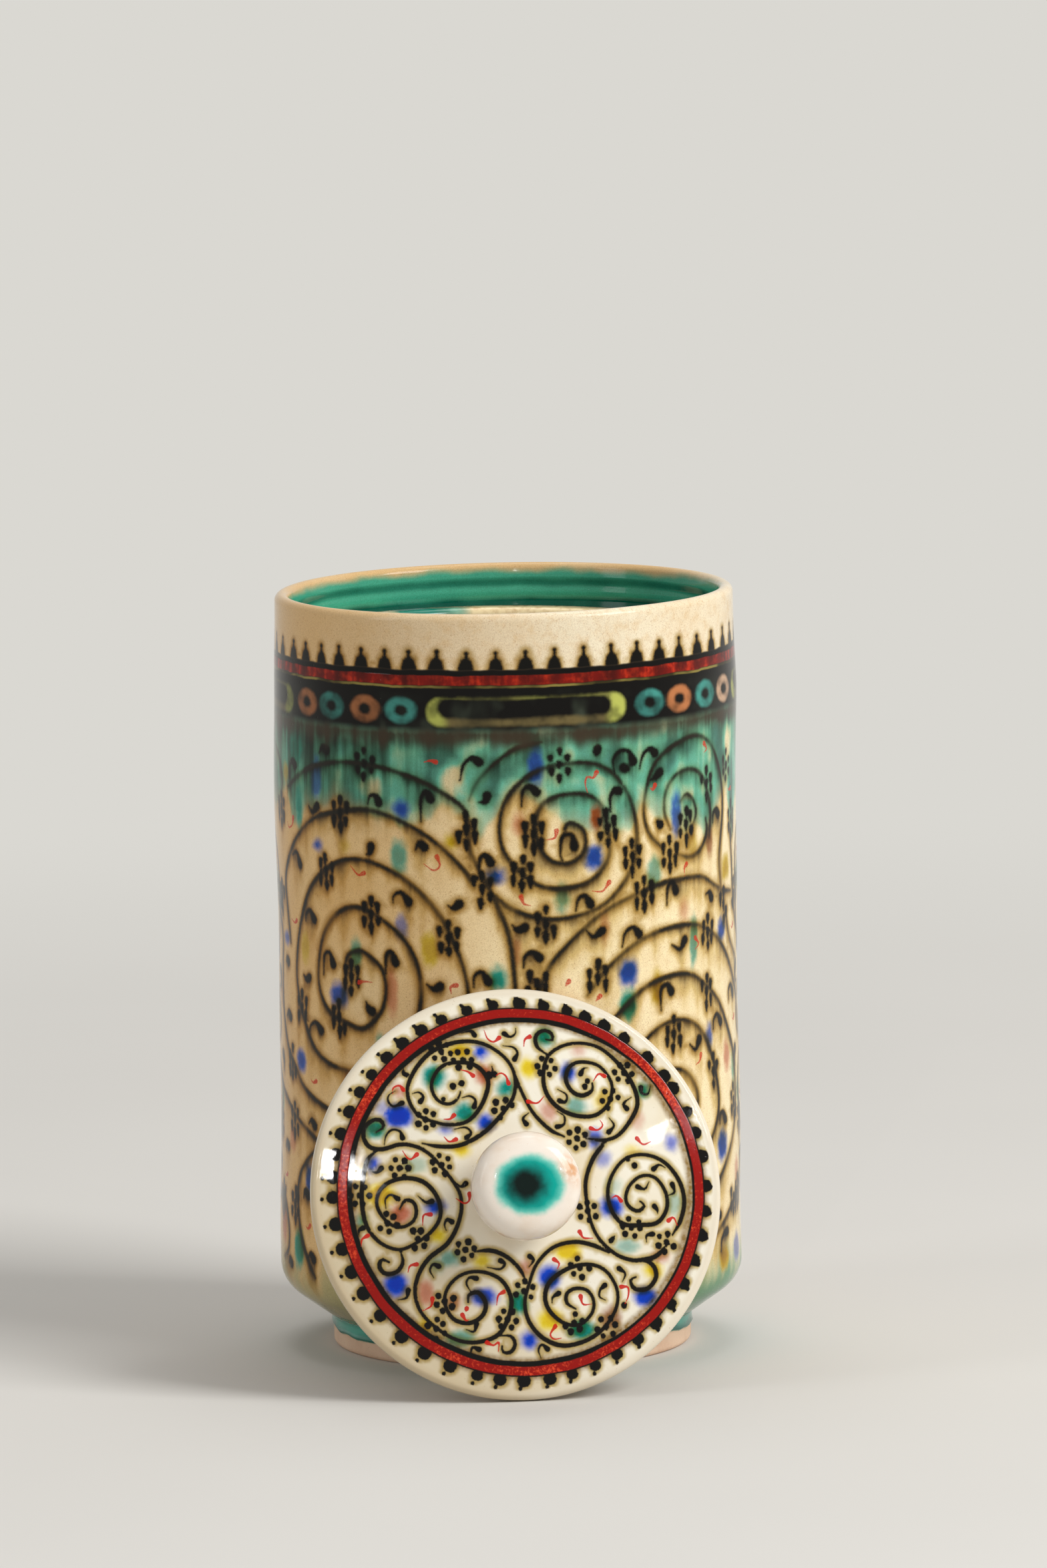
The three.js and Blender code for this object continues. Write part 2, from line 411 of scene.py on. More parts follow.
def jarOutline(j):
    cut = np.array([j["base"] - j["foot"], j["chamferTop"] - j["footHeight"]])
    cut = cut / np.hypot(*cut)
    corner = np.array([j["base"], j["chamferTop"]])
    low = corner - cut * j["soft"]
    high = corner + (0, j["soft"])
    lipBase = j["height"] - j["lip"] / 2
    waist, band = np.array([j["waist"], j["waistHeight"]]), np.array([j["band"], j["bandHeight"]])
    rim = np.array([j["rim"], lipBase])
    under = lineUp([[r, j["footHeight"]] for r in (0, 20, 44, j["foot"])])
    wallLine = [[[j["foot"], j["footHeight"]]],
                bend(low, low + cut * j["soft"] * 2 / 3, high - (0, j["soft"] * 2 / 3), high, 14)]
    for a, b, count in ((high, waist, 30), (waist, band, 24), (band, rim, 16)):
        step = (0, (b[1] - a[1]) / 3)
        wallLine.append(bend(a, a + step, b - step, b, count))
    wallLine = lineUp(*wallLine)

    mouth = [arc((j["rim"] - j["lip"] / 2, lipBase), j["lip"] / 2, 0, 180, 17)]
    galleryTop = lipBase - 1.5
    for z in np.arange(galleryTop, j["seatTop"] + 0.7, -0.45):
        swell = j["fineRingDepth"] * math.cos((galleryTop - z) * 2 * math.pi / j["fineRingPitch"])
        mouth.append([[j["gallery"] + j["fineRingDepth"] - swell, z]])
    seatFoot = j["seatTop"] - j["seatDepth"]
    mouth.append([[j["gallery"], j["seatTop"] + 0.3], [j["gallery"], seatFoot + 0.2]])
    filletTop = j["floorTop"] + j["fillet"]
    ringsTop = seatFoot - 1
    atWall = lambda z: np.interp(z, wallLine[:, 1], wallLine[:, 0]) - j["wall"]
    for z in np.arange(ringsTop, filletTop, -2.2):
        turn = (ringsTop - z) * 2 * math.pi / j["ringPitch"]
        swell = j["ringDepth"] * (0.5 - 0.5 * math.cos(turn)) + 0.06 * math.sin(turn * 3.1)
        mouth.append([[atWall(z) + swell, z]])
    mouth.append(arc((atWall(filletTop) - j["fillet"], filletTop), j["fillet"], 0, -90, 13))
    mouth.append([[r, j["floorTop"]] for r in (30, 14, 0)])
    return under, wallLine, lineUp(*mouth)


# where the potter drew: "round the wall from the front" and "height", read off the picture
jarDrawing = {
    "lineWidth": 1.16,
    "lines": [
        # the big scroll on the left
        "-47.5 106.4, -46.3 109.4, -43.9 110.6, -40.7 110.8, -35 106.9, -33.6 101, -35.4 95, -40.7 90.7, "
            "-46.5 91.6,-53 93.6, -57.7 99.1, -58.2 106, -55.3 114.7, -48.5 120.9, -40.7 122.2, "
            "-30.8 117.3, -25.1 110.5,-23.3 101.7, -25 92, -30 85, -36 80.6, -42 79, -51.7 79.8, "
            "-59 82.7, -64 88.1, -68.8 96, -70.4 104,-67.8 114.7, -61 126.1, -50 133.5, -40 135, "
            "-29.8 131.9, -22.5 126.7, -16.8 119.9, -12 109, -10.3 98,-12 86, -17 76",
        "-74.6 109.5, -76.7 118.9, -77.2 126.7, -72 134.5, -64.8 140.8, -57.1 145.1, -48 147.2, "
            "-38.8 148.3,-29.7 146.3, -20.3 141.7, -12 134.5, -8.5 129",
        "-73 151.3, -65.8 155.2, -59 158.1, -49.9 160, -44.1 160.4, -36 159.9, -29.7 158.8, -20.6 155.7,"
            "-11.9 150.4, -10 146, -9.5 138.8, -5.7 130.8, -2.1 123, 0.5 115.2, 1.8 102.7, 1.4 92, "
            "-1.5 82, -8 72",
        "-92 122, -86 117, -82.4 110, -82.9 103.7, -82.7 96, -81.1 89.2, -76.7 81.4, -71 77, -66.8 73, "
            "-60 69.9, -52 67.6",
        "-86 161, -80.7 158, -77.8 152.8, -78.8 148.9",
        "-90 77, -84 70.5, -79.8 68.3, -72 64.3, -62.6 60.5, -54 56, -50 50, -51 43, -57 38.5",
        "-57 58, -62.6 54.8, -68.9 49.1, -70.4 43, -68.9 34, -64.2 26.1, -61 22.5",
        "-90 40, -84 42.3, -80.8 40.2, -78.2 36, -77.2 31.9, -78.4 27.5, -83 25",
        # the scroll at the top in the middle
        "14.8 141.6, 15.5 144.4, 17.2 145.2, 20.3 143.2, 20.9 139.3, 19.3 136.2, 15.5 134.7, 11.2 135.9, "
            "8.3 140,7.5 146, 9.8 150.6, 14.1 152.5, 20.8 152.5, 25.6 149.2, 27.5 142, 27 135, "
            "21.9 129.8, 14.1 128.3,7.3 129.8, 1.1 135.5, -1.6 141.2, -1.4 148, 1.1 153.5, 6.8 158.5, "
            "13 160.3, 21.3 160.7, 28 158.1,33.3 151.6, 35.8 143.2, 35.3 135, 31.3 128.2, 24.5 122.8, "
            "15 120.5, 7.3 121, 0.5 123.8, -3 127",
        "-9.7 151.8, -7.6 156.4, -2.8 161.4, 3 165.3, 9.3 166.7",
        # the scroll at the top on the right
        "56.4 141.2, 57.9 144.4, 56.4 148, 53.6 149.6, 51.2 148",
        "47.3 141.2, 45.2 146, 46 151.6, 50 155.3, 56 155.9, 60.8 153.3, 64.1 148, 65.2 143, 64.5 137",
        "50.2 134.3, 55 133.1, 59.8 134.5, 63.1 138.6, 62.6 142.3",
        "44.4 136.4, 39.6 141.2, 38.2 148, 40.8 157.1, 46.3 161.9, 56 164.5, 63.2 162.6, 68.5 157.6, "
            "72.5 149.9,73 142, 70.5 131, 71.5 123, 71.3 117.8",
        "79 140, 81.1 129.8, 82.9 118, 88 110", "75.9 115.7, 77 111.6, 80.1 107.4, 86 103",
        # the big scroll low on the right
        "5 96, 8.9 103.7, 11.5 109, 18.1 115.7, 25.4 121.2, 33.2 124.6, 43.1 127.2, 51.5 127.7, "
            "60.3 127.2,67.1 124.3, 73.5 122, 80 121",
        "21 100, 27.1 106.9, 33.3 111.3, 40 114.2, 48.3 115.5, 58.2 114.9, 67.6 111, 74.9 105.8, "
            "81.1 99.6, 88 91, 91 81",
        "24 88, 30.1 94.6, 37.9 100.4, 46.3 102.7, 54.6 102.4, 60.8 99.6, 69.2 93.9, 74.9 87.2, 80.4 78.9,"
            "81.9 70, 79.6 59.1, 73.3 51.3, 66 45.6, 57 42.5, 47 43.5, 38 49, 33 57, 33 66",
        "50 66, 53.5 64.3, 56.8 67, 56.7 72, 52.5 76.8, 46 78, 40.5 73, 39.5 65, 43 57.5, 50 53.6, 58 54,"
            "64 58.5, 67.8 65, 67.6 72, 64 81.5, 58.2 88.2, 50.4 90.9, 42.1 89.2, 34 83, 30 76",
        "92 52, 84 42, 75.9 37.7, 68.1 33.3, 58 29.5, 46 29",
        # behind the lid
        "-2 50, 1 53, 5.5 51.5, 6.5 46, 2.5 41.5, -4 41.5, -9.5 46, -10.5 53.5, -6.5 61, 1 65, 10 63.5,"
            "17 57, 19.5 48, 17.5 39, 11 32, 2 28, -8 28.5, -18 33, -24.5 41, -26 51, -23 61, -16 69, "
            "-6 74.5, 6 76, 16 73, 24 66",
        "-46 62, -40 61, -37.5 56, -40 50.5, -46 50, -50 54",
        "-30 25.5, -38 30, -43 37, -43 44, -38 47.5, -33 45, -32.5 40.5",
    ],
    "clusters": "-39.5 160.5, -48 147, -79 145, -10.5 144.5, 14 160.7, 7 143, 27 143.5, 4 133, "
        "34.5 135.5, 47 135, 63 151.5, 76 154.5, 53.5 142, 81 140, -54 131, -38 121, -15.5 116, -6.5 129, "
        "10 119.5, 38 125.5, 24 104.5, 7.5 104, 63.5 112.5, 73.5 118.5, -45 104, -49.5 93, -67 93.5, "
        "-82 121, 48.3 87.5, 63 97, 65.5 75.5, 79.5 65.5, 79 40, -73.5 78, -72.5 63.5, -72.5 40.5, 0 82, "
        "-22 66, 12 92, -35 68, 26 52, 4 35, 30 33, -14 50, -52 33, 50 37",
    "hooks": [
        "-68.4 157.4, -70 158.6, -71.6 157, -72 153.7", "-53 162.9, -54.6 163.6, -56 162",
        "-35 150.4, -36 152.2, -37.8 152, -38.4 150", "-57.2 147.8, -59.3 146, -61 147.4",
        "-20 152, -21.2 153.9, -22.6 152, -22.7 146", "-21.8 139.3, -23.2 140.4, -24.3 138.6",
        "-66.5 131.3, -68.3 134.4, -71 133.4", "-6.9 161.7, -8.8 162.8, -11 161, -12 157",
        "-4.9 153, -5.4 151.4, -7 151.3", "8 153.6, 6.2 155.2, 4.4 154, 4 150",
        "35 160, 33.6 162.7, 31 163, 29 161, 29.3 157.5", "32 158.6, 33.5 158", "24.5 164, 24 162.6",
        "-4.2 135.6, -5.4 137.6, -6.9 136.6, -7.3 133", "42 161.5, 40.2 162.8, 38 161.4, 37 158",
        "43.7 156.4, 42 155.2, 40.4 154.7", "69.9 142.4, 68.6 143.8, 66.9 143, 66.6 140.6",
        "43.7 142.7, 42.8 143.6", "17.8 139, 17.2 142, 14.6 141.8, 14 137.5, 14.5 135.6",
        "30.6 152.6, 29.4 153, 28 151, 28.2 147.5", "22.1 123.8, 20.6 126, 18.7 125.4, 18 122.4",
        "4.4 118.5, 2.6 117.8, 1.2 119.2", "8.2 110.4, 6.4 112, 4.4 110.8, 4 108",
        "25.3 116.7, 22.8 115.2, 20.8 117", "36.5 114.8, 34.4 116.8, 32 115.4, 31.2 112",
        "-12.5 124.8, -14 123.6, -15.5 124.2", "-5.2 104.4, -6.9 107, -8.8 105.8, -9 103",
        "-18 103, -19.6 102.2, -21.6 103.4", "49.1 124.8, 47.9 127.4, 46.1 126, 45.8 121.5",
        "65.5 121, 64.4 122.6, 62.5 122.4", "52.8 111.6, 50.9 109.4, 47.8 110.8",
        "47.6 98.6, 46 100.6, 43.8 99.4, 43.8 94", "71 87.6, 68.8 90, 66.6 88.6, 66.4 86.4",
        "82.2 93.6, 80 96.2, 77.8 95, 77.8 92.6", "58.9 84.8, 57 82.2, 54.6 83.8",
        "72 61.5, 70.6 63.8, 68.6 63.4, 68.4 61", "72.8 31.8, 70.6 31.4, 68.9 30, 68.3 27",
        "82.2 117.8, 83.6 115.8", "-51.9 106.4, -53.4 109.4, -55.6 108.4, -56 103.4",
        "-37.9 95.4, -39 95.8, -39.9 97.6", "-60 117.4, -62 119.6, -64.2 118.4, -64.4 116.6",
        "-63 101.7, -64.4 101, -66 102", "-56.9 88.4, -59.4 90.3, -61.8 89.4, -62.8 87.6",
        "-26.4 124.8, -28.6 127.2, -30.8 126.2, -31 124.4",
        "-30.6 108.6, -31.8 111.4, -33.4 110.4, -33.6 105.6", "-75 89.7, -76.6 91, -78.4 89.6",
        "-76.9 104, -78 105, -79 104", "-37.6 138.8, -38 137, -39 136.6", "-60.5 62.8, -62 64.2, -63.6 63",
        "-78.2 55, -80 56, -81.4 54.6", "-64.4 43.8, -66 45, -67 43", "-61.6 27.2, -63 28.6, -64.6 27.4",
        "-75.6 24.1, -77 25.4, -78 24", "67.9 36.7, 66.6 37.8, 65.4 36.6",
        "-26 46, -28 48, -30.4 46.8, -30.8 44", "6 84, 4 86.4, 1.6 85, 1.2 82",
        "30 44, 28 46.4, 26 45, 25.6 42", "-20 88, -22 90.2, -24 89, -24.4 86", "-4 92, -6 94, -8 93",
        "12 46, 10.4 48, 8.6 47", "20 80, 18 82.4, 16 81, 15.6 78.4", "-46 42, -48 44, -49.6 42.6",
        "38 38, 36 40, 34.6 38.6",
    ],
    "flecks": [
        "-69.9 143.4, -70.6 141.4, -73 140.4, -74 141.8", "-40 131.6, -42 131, -44.6 133.2",
        "-70 116, -71.4 115.2, -73.6 116", "-42.4 102.6, -40.4 103, -38 103",
        "-18.4 137, -17.6 134.6, -19.4 133.4, -22 135", "-18.4 161.7, -20 162, -21.6 161.6",
        "-13.6 103.4, -15.2 103, -15 101.2", "24.2 158, 23.2 156.6, 21.6 157, 21 155.2, 21.6 153",
        "13.1 143.4, 12.6 141.6, 10.4 141.2", "3.6 126.6, 4.2 124.8, 6 124.2",
        "27.4 129.2, 25.4 127, 22.6 127.2", "42 153.2, 41.2 152, 40.4 152.6",
        "61.6 162, 63 160.4, 61.8 159.6", "53.6 131.4, 52.6 130.4, 52.8 128.4", "24.6 99.6, 23.4 98.4",
        "57.4 111.6, 59 109.8, 57.4 108.6", "59.4 80.6, 58.8 79, 57 78.2", "80.6 147.9, 79 147.6, 78 148.2",
        "82.6 112, 81.6 111, 80.4 111.6", "83.4 87.6, 82.4 86.6, 81.2 87.2", "-59.4 74.8, -61 74.2, -62 75",
        "-79.4 47.4, -81 46.8, -82.4 47.6", "-63.4 36, -64.4 35, -65.8 35.6", "-13 95, -14 93.6, -15.6 94",
        "8 70, 7 68.6, 5.4 69.2", "-32 55, -33.4 54, -34.6 55", "22 40, 21 38.6, 19.6 39.4",
        "44 70, 43 68.6, 41.6 69.4", "-2 32, -3.4 31, -4.6 32", "16 104, 15 102.8",
    ],
    # soft spots of colour: place, width, height, strength
    "blue": "-57.6 155 4.5 11 .6, -57.6 137.6 3.5 3 .8, -28.3 148.9 4.5 5 .85, 7.6 160 4 9 .75, "
        "-2.8 132 5 5 .85, 23.2 135.9 5.5 6 .9, 49.5 145 3.5 11 .7, 32.8 105.3 6 7.5 1, 72.3 112 5 6 .8, "
        "64 85 4 7 .7, 69.9 55.4 6 8 .9, 81.7 26.3 7 8 .6, -28.8 117.8 4 7 .55, -77.2 110.5 5 4 .7, "
        "-49.6 98.5 6.5 6.5 .75, -67.3 79.3 5.5 6 .8, -63.6 48 4 9 .8, -14 60 5 7 .8, 14 84 5 6 .8, "
        "40 30 6 7 .8, -30 36 5 7 .7",
    "turquoise": "-68.7 162 8 8 .7, -66.3 146.5 3 10 .7, -29.2 136.4 5 9 .65, 14.3 125.6 4 8 .6, "
        "-2.6 105 5 7 .85, 41.6 130.3 5 9 .6, 56.7 111 3.5 13 .65, 32.8 96.5 5 8 .75, -43.3 110 4 7 .65, "
        "80 73.6 3 9 .6, -69.9 28.8 6 12 .75, 6 56 5 7 .7, -20 40 5 8 .7, 26 70 5 8 .7, -35 86 4 7 .6",
    "yellow": "-74.7 155 4 4 .6, -47 138.3 4 4 .5, -14.5 140.7 4 4.5 .85, 56 136.4 5 5 .6, "
        "-65 109.5 4.5 8 .6, -20.9 112.6 4.5 9 .7, 42.6 100 5 9 .75, 75.2 127.7 6.5 7 .85, "
        "70.2 25.2 6 7 .85, -4 44 5 6 .8, 20 62 5 7 .7, -30 76 5 6 .6, 52 48 5 6 .7",
    "salmon": "3.5 145.6 3.5 5 .55, 2.3 113 2.5 8 .45, 26 117.8 2.5 8 .4, 52.5 119.4 4 7 .4, "
        "-31.9 101 4 14 .55, 74.6 78.3 4.5 9 .6, -74.6 57.4 5 7 .5, 82.7 46.6 5 7 .5, -82.4 34 6 9 .6, "
        "14 42 4 7 .5, -46 74 4 8 .5, 36 76 4 7 .5, -12 34 4 7 .5",
    "rust": "23.7 146 3.4 7 .8, 64.6 136 3.4 8 .6, -84 95 4 8 .4, 48 62 4 6 .5, -55 49 4 7 .5",
    # how low the turquoise runs down: round the wall, height
    "drips": "-95 150, -88 146, -80 146, -74 151, -69 142, -66 140, -62 148, -56 147, -50 152, -44 147, "
        "-36 146, -32 147, -28 143, -22 147, -16 151, -11 147, -7 141, -4 146, 0 152, 5 152, 10 148, "
        "16 144, 21 142.5, 27 142, 34 142, 38 148, 43 146, 47 143, 50 140, 54 139, 59 141, 63 137, 66 139, "
        "70 146, 74 150, 78 144, 82 135, 86 141, 95 150",
    # places in it where the cream shows through, and where it is deepest
    "bare": "-14 157 5 10 .8, -73 146 6 9 .7, -38 155 12 7 .6, 3 165 8 4 .5, 2 155 8 5 .5, 78 160 6 9 .5, "
        "-24 147 5 5 .5, 66 158 4 7 .3, -84 158 7 8 .5, 22 156 9 5 .3, 55 150 5 4 .4, -50 155 8 8 .5, "
        "12 150 7 6 .3",
    "deep": "-17 163 9 6 .8, -6 158 8 14 .8, 28 161 12 7 .5, 68 163 7 8 .9, 52 163 12 6 .5, "
        "-66 163 12 7 .7, 73 155 5 14 .5, 34 148 6 9 .5, -20 156 4 8 .5, 45 160 8 10 .6, 81 150 5 12 .7, "
        "-46 165 12 4 .5, 8 163 8 5 .4",
}

jarBorder = {
    "teeth": "-77.6 -69.2 -62.2 -54.9 -47.8 -40.1 -32.7 -25.6 -18.1 -10.1 -2.2 5.5 13 21 29 36.5 44 51.5 "
        "59.5 67 75 82.5",
    "toothPitch": 7.63,
    "toothBase": 185.4,
    # up from the base, half width, share of the tooth's lean, share of its extra height
    "toothProfile": (
        (-0.8, 1.7, 0, 0), (0.5, 2.0, 0, 0), (1.5, 1.8, 0.3, 0), (2.6, 1.0, 0.6, 0),
        (3.3, 0.5, 1, 1), (4.3, 0.42, 1, 1), (4.8, 0.62, 1, 1),
    ),
    # windows: left end, right end, in mm round the wall
    "windows": "-123 -69, -21 33, 80.5 134.5, 182 211",
    "windowHeight": 174.7, "windowRound": 3.9,
    "coreHeight": 175.6, "coreRound": 2.45, "coreInset": 6.4, "coreShift": 0.6,  # the dark middle
    # where each ring's middle is, and which tint it has
    "rings": "-61.5 0, -50.9 1, -39 0, -28 1, 40.4 1, 51 0, 62.3 1, 73.5 2, 142 0, 153 1, 164 0, 175 1, "
        "218 1, 229 0, 240 1, 251 0",
    "ringHeight": 174.9, "ringOuter": 4.4, "ringHole": 1.6,
    "ringTints": [(186, 118, 72), (70, 150, 138), (196, 160, 130)],
    "windowTint": (186, 190, 92),
    "windowDull": (112, 98, 60),
}

# what fills the two sides, where the front's drawing meets its mirror image:
# from the meeting line, and height
jarSides = {
    "lineWidth": 1.16,
    "lines": [
        "-1 103, -6 110, -9 118.5, -9.6 127, -6.6 134.5, 0 137.6, 6 135.6, 9 130, 8.4 123.8, 4.4 119.5, "
            "-0.6 119.6, -4 123, -4.2 127.8, -1.2 130.6, 2.2 129.4, 2.8 126.6",
        "1 90.5, 6 85, 9.6 77, 10.2 68.4, 7.6 60.6, 1.6 56.6, -5 58, -9 63.6, -9.4 70.6, -5.6 76.2, "
            "0 77.6, 4.6 74.4, 5 68.8, 2 64.8, -2 65.2, -3 68.4",
        "0 98, -4 94.5, -7.4 90.6, -8.6 86, -6.4 82.6, -3 83.4, -2.4 86.4",
    ],
    "clusters": "0 147.6, -9.2 121.5, 8.8 128, 2 111, 1 96, 9.8 72.5, -8.6 60.4, 0 46, 13 53.5, -11.5 41",
    "hooks": [
        "5.6 116, 6.8 113.6, 5 111, 2.6 111.8", "-2.4 125, -1 126.6, 1 125.6",
        "8 103, 9.6 100.6, 8 98, 5.6 98.6", "-8 101, -9.6 99, -8.8 96.4, -6.6 96.2",
        "0 71.4, 1.8 70.8, 2 68.6", "-12 79, -13.4 77, -12.6 74.6", "4.6 50.6, 6.6 49.6, 6.6 47.2",
        "-5.6 51, -7.6 50, -7.8 47.6", "5 38.6, 7.2 37.8, 7.4 35.4",
    ],
    "flecks": [
        "-5 131, -3.6 129.8, -2 130.6", "6.6 107.2, 8.2 106.2, 9.6 107.2", "-1 88, 0.6 86.8, 2.2 87.8",
        "-6.4 66.6, -4.8 65.6, -3.6 66.8", "2.6 53.4, 4 52.4, 5.4 53.6",
    ],
    "blue": "5.4 131.4 4.5 5.5 .8, -4 106 4 5 .7, 7.6 65 4.4 6 .8, -3.6 41.6 4.4 5 .7",
    "turquoise": "-6 124 4.4 7 .6, 4.6 93 4 7 .6, -10 67 4 7 .6",
    "yellow": "1 124 4 5 .6, -5.4 87 4.2 5 .7, 1 60.6 5 4.6 .6",
    "salmon": "8 118 3 7 .45, -1.4 73.6 4 6 .45",
    "rust": "-8.4 112 3 6 .4",
}

jarTints = {
    "blue": (40, 84, 168), "turquoise": (34, 152, 132), "yellow": (200, 168, 24),
    "salmon": (196, 108, 66), "rust": (156, 84, 34),
}

jarBrush = {
    "dot": 0.93, "dotGap": 2.55, "drop": 0.75, "stretch": 1.26, "ranStretch": 0.14,
    "ran": (146, 158),       # higher up than this the glaze carried the dots less
    "hook": (1.3, 0.56),
    "fleck": (0.7, 0.3), "fleckStep": 0.6,
    "margin": 0.45,          # from a stroke's edge to the mesh points beside it
    "reach": 3.0,
    "run": 4.0, "borderRun": 5.5,               # how far down, in mm, the glaze carried pigment
    "borderFoot": 167.5,     # the black border ends about here
    "smearCell": 0.5,
}


def drawJar(d, k):
    draw = np.random.default_rng(7)
    layers = {"line": [scrollLine(text, d["lineWidth"] / 2) for text in d["lines"]], "dot": []}
    for x, y in readPoints(d["clusters"]):
        ran = 1 - float(smoothStep(np.array(y), *k["ran"]))
        drop, stretch = k["drop"] + k["drop"] * ran, k["stretch"] + k["ranStretch"] * ran
        layers["dot"] += clusterDots(x, y, k["dot"], k["dotGap"], drop, stretch, math.pi / 2, draw)
    layers["dot"] += [hookMark(text, *k["hook"]) for text in d["hooks"]]
    layers["fleck"] = [hookMark(text, *k["fleck"], k["fleckStep"]) for text in d["flecks"]]
    return layers


def allRound(items, girth):  # the front's drawing, and the same mirrored on the back
    out = []
    for stroke in items:
        out.append(stroke)
        for shift in (-girth / 2, girth / 2):
            out.append(moved(stroke, (shift, 0), mirror=True))
    return out


def wrapSpots(spots, tints, girth):
    outSpots, outTints = list(spots), list(tints)
    for shift in (-girth / 2, girth / 2):
        outSpots += [[shift - s[0], *s[1:]] for s in spots]
        outTints += tints
    return outSpots, outTints


def fromPlace(u, place, girth):  # the short way round from a place on the wall
    return (u - place + girth / 2) % girth - girth / 2


def borderMarks(b, girth):
    front = [float(v) for v in b["teeth"].split()]
    gap = front[0] + girth - front[-1]
    behind = np.linspace(front[-1], front[0] + girth, round(gap / b["toothPitch"]) + 1)[1:-1]
    up, half, leans, grows = np.array(b["toothProfile"]).T
    draw = np.random.default_rng(3)
    out = []
    for u in front + list(behind):
        wide, tall = draw.uniform(0.88, 1.1), draw.uniform(-0.3, 0.5)
        lean = draw.normal(0, 0.15)
        path = np.c_[fromPlace(u, 0, girth) + lean * leans, b["toothBase"] + up + tall * grows]
        out.append((path, half * wide))
    return out


def panelField(points, b, girth):  # the windows and rings in the black border
    bright, dull = np.array(srgb(*b["windowTint"])), np.array(srgb(*b["windowDull"]))
    best = np.full(len(points), 6.0)
    colour = np.tile(bright, (len(points), 1))
    u, z = points.T
    for left, right in readPoints(b["windows"]):
        reach = (right - left) / 2
        x = fromPlace(u, (left + right) / 2, girth)
        outer = np.hypot(np.maximum(np.abs(x) - reach + b["windowRound"], 0), z - b["windowHeight"])
        coreHeight = b["coreHeight"] + 0.2 * np.sin(x / 5)
        core = np.hypot(np.maximum(np.abs(x + b["coreShift"]) - reach + b["coreInset"], 0), z - coreHeight)
        gap = np.maximum(outer - b["windowRound"], b["coreRound"] - core)
        tone = smoothStep(z, 174.6, 177.4) * (0.5 + 0.12 * np.sin(x / 3.7 + 1) + 0.12 * np.sin(x / 1.9))
        tone = np.maximum(tone, smoothStep(np.abs(x), reach - 7, reach - 3.5))[:, None]
        keepNearer(best, colour, gap, dull * (1 - tone) + bright * tone)
    for place, kind in readPoints(b["rings"]):
        far = np.hypot(fromPlace(u, place, girth) * 0.9, (z - b["ringHeight"]) * 1.2)
        gap = np.maximum(far - b["ringOuter"], b["ringHole"] - far)
        keepNearer(best, colour, gap, srgb(*b["ringTints"][int(kind)]))
    return best, colour


def smearField(points, ink, box, cell, run, seed):  # pigment that the glaze has carried downwards
    columns, rows = (int(math.ceil((box[1][k] - box[0][k]) / cell)) for k in (0, 1))
    gridX, gridY = np.meshgrid(np.arange(columns), np.arange(rows), indexing="ij")
    spots = np.c_[box[0][0] + gridX.ravel() * cell, box[0][1] + gridY.ravel() * cell]
    ink = ink(spots).reshape(columns, rows)
    draw = np.random.default_rng(seed)
    stretch = draw.random(columns + 16)
    stretch = np.convolve(stretch, np.ones(5) / 5, "same")[8:-8][:columns]
    keep = np.exp(-cell / (run * (0.2 + 3.2 * np.clip(stretch - 0.25, 0, 1))))
    flow = ink.copy()
    for row in range(rows - 2, -1, -1):
        flow[:, row] = np.maximum(ink[:, row], flow[:, row + 1] * keep)
    for k in range(2):
        flow = (flow * 2 + np.roll(flow, 1, 0) + np.roll(flow, -1, 0)) / 4
    x = np.clip((points[:, 0] - box[0][0]) / cell, 0, columns - 1.001)
    y = np.clip((points[:, 1] - box[0][1]) / cell, 0, rows - 1.001)
    i, j = x.astype(int), y.astype(int)
    fx, fy = x - i, y - j
    below = flow[i, j] * (1 - fx) + flow[i + 1, j] * fx
    above = flow[i, j + 1] * (1 - fx) + flow[i + 1, j + 1] * fx
    return below * (1 - fy) + above * fy


def thrownWall(points, j):  # the unevenness of a wall thrown by hand, and the tilt of the mouth
    x, y, z = points.T / mm
    r = np.hypot(x, y) + 1e-9
    turn = np.arctan2(x, -y)
    waves = np.sin(z / 9.5 + 1.4 * np.sin(turn + 0.5)) + 0.8 * np.sin(2 * turn + z / 33)
    waves = waves + 0.9 * np.sin(3 * turn - z / 19 + 1)
    push = j["unevenness"] * waves * smoothStep(z, 12, 40) * (1 - smoothStep(z, 170, 186))
    push *= smoothStep(r, 40, 52)
    lift = j["rimTilt"] * np.sin(turn) * smoothStep(z, 90, 200) * smoothStep(r, 30, 50)
    return np.c_[x * (r + push) / r, y * (r + push) / r, z + lift] * mm


def litSideOf(u):  # 0 on the left of the front, 1 on the right, and 0 again behind: 1 where the painted light falls and 0 where the painted shade falls; it also steers some real changes in the glaze
    return smoothStep(u, -75, 40) * (1 - smoothStep(u, 90, 150))


def drawWall(girth):  # every stroke and spot, all the way round
    layers = {name: allRound(items, girth) for name, items in drawJar(jarDrawing, jarBrush).items()}
    layers["dot"] += borderMarks(jarBorder, girth)
    spots, tints = wrapSpots(*spotsOf(jarDrawing, jarTints), girth)
    sideSpots, sideTints = spotsOf(jarSides, jarTints)
    sideLayers = drawJar(jarSides, jarBrush)
    for turned in (False, True):
        shift = -girth / 4 if turned else girth / 4
        for name, items in sideLayers.items():
            layers[name] += [moved(stroke, (shift, 0), turned) for stroke in items]
        spots += [[shift + (-x if turned else x), *more] for x, *more in sideSpots]
        tints += sideTints
    return layers, spots, tints


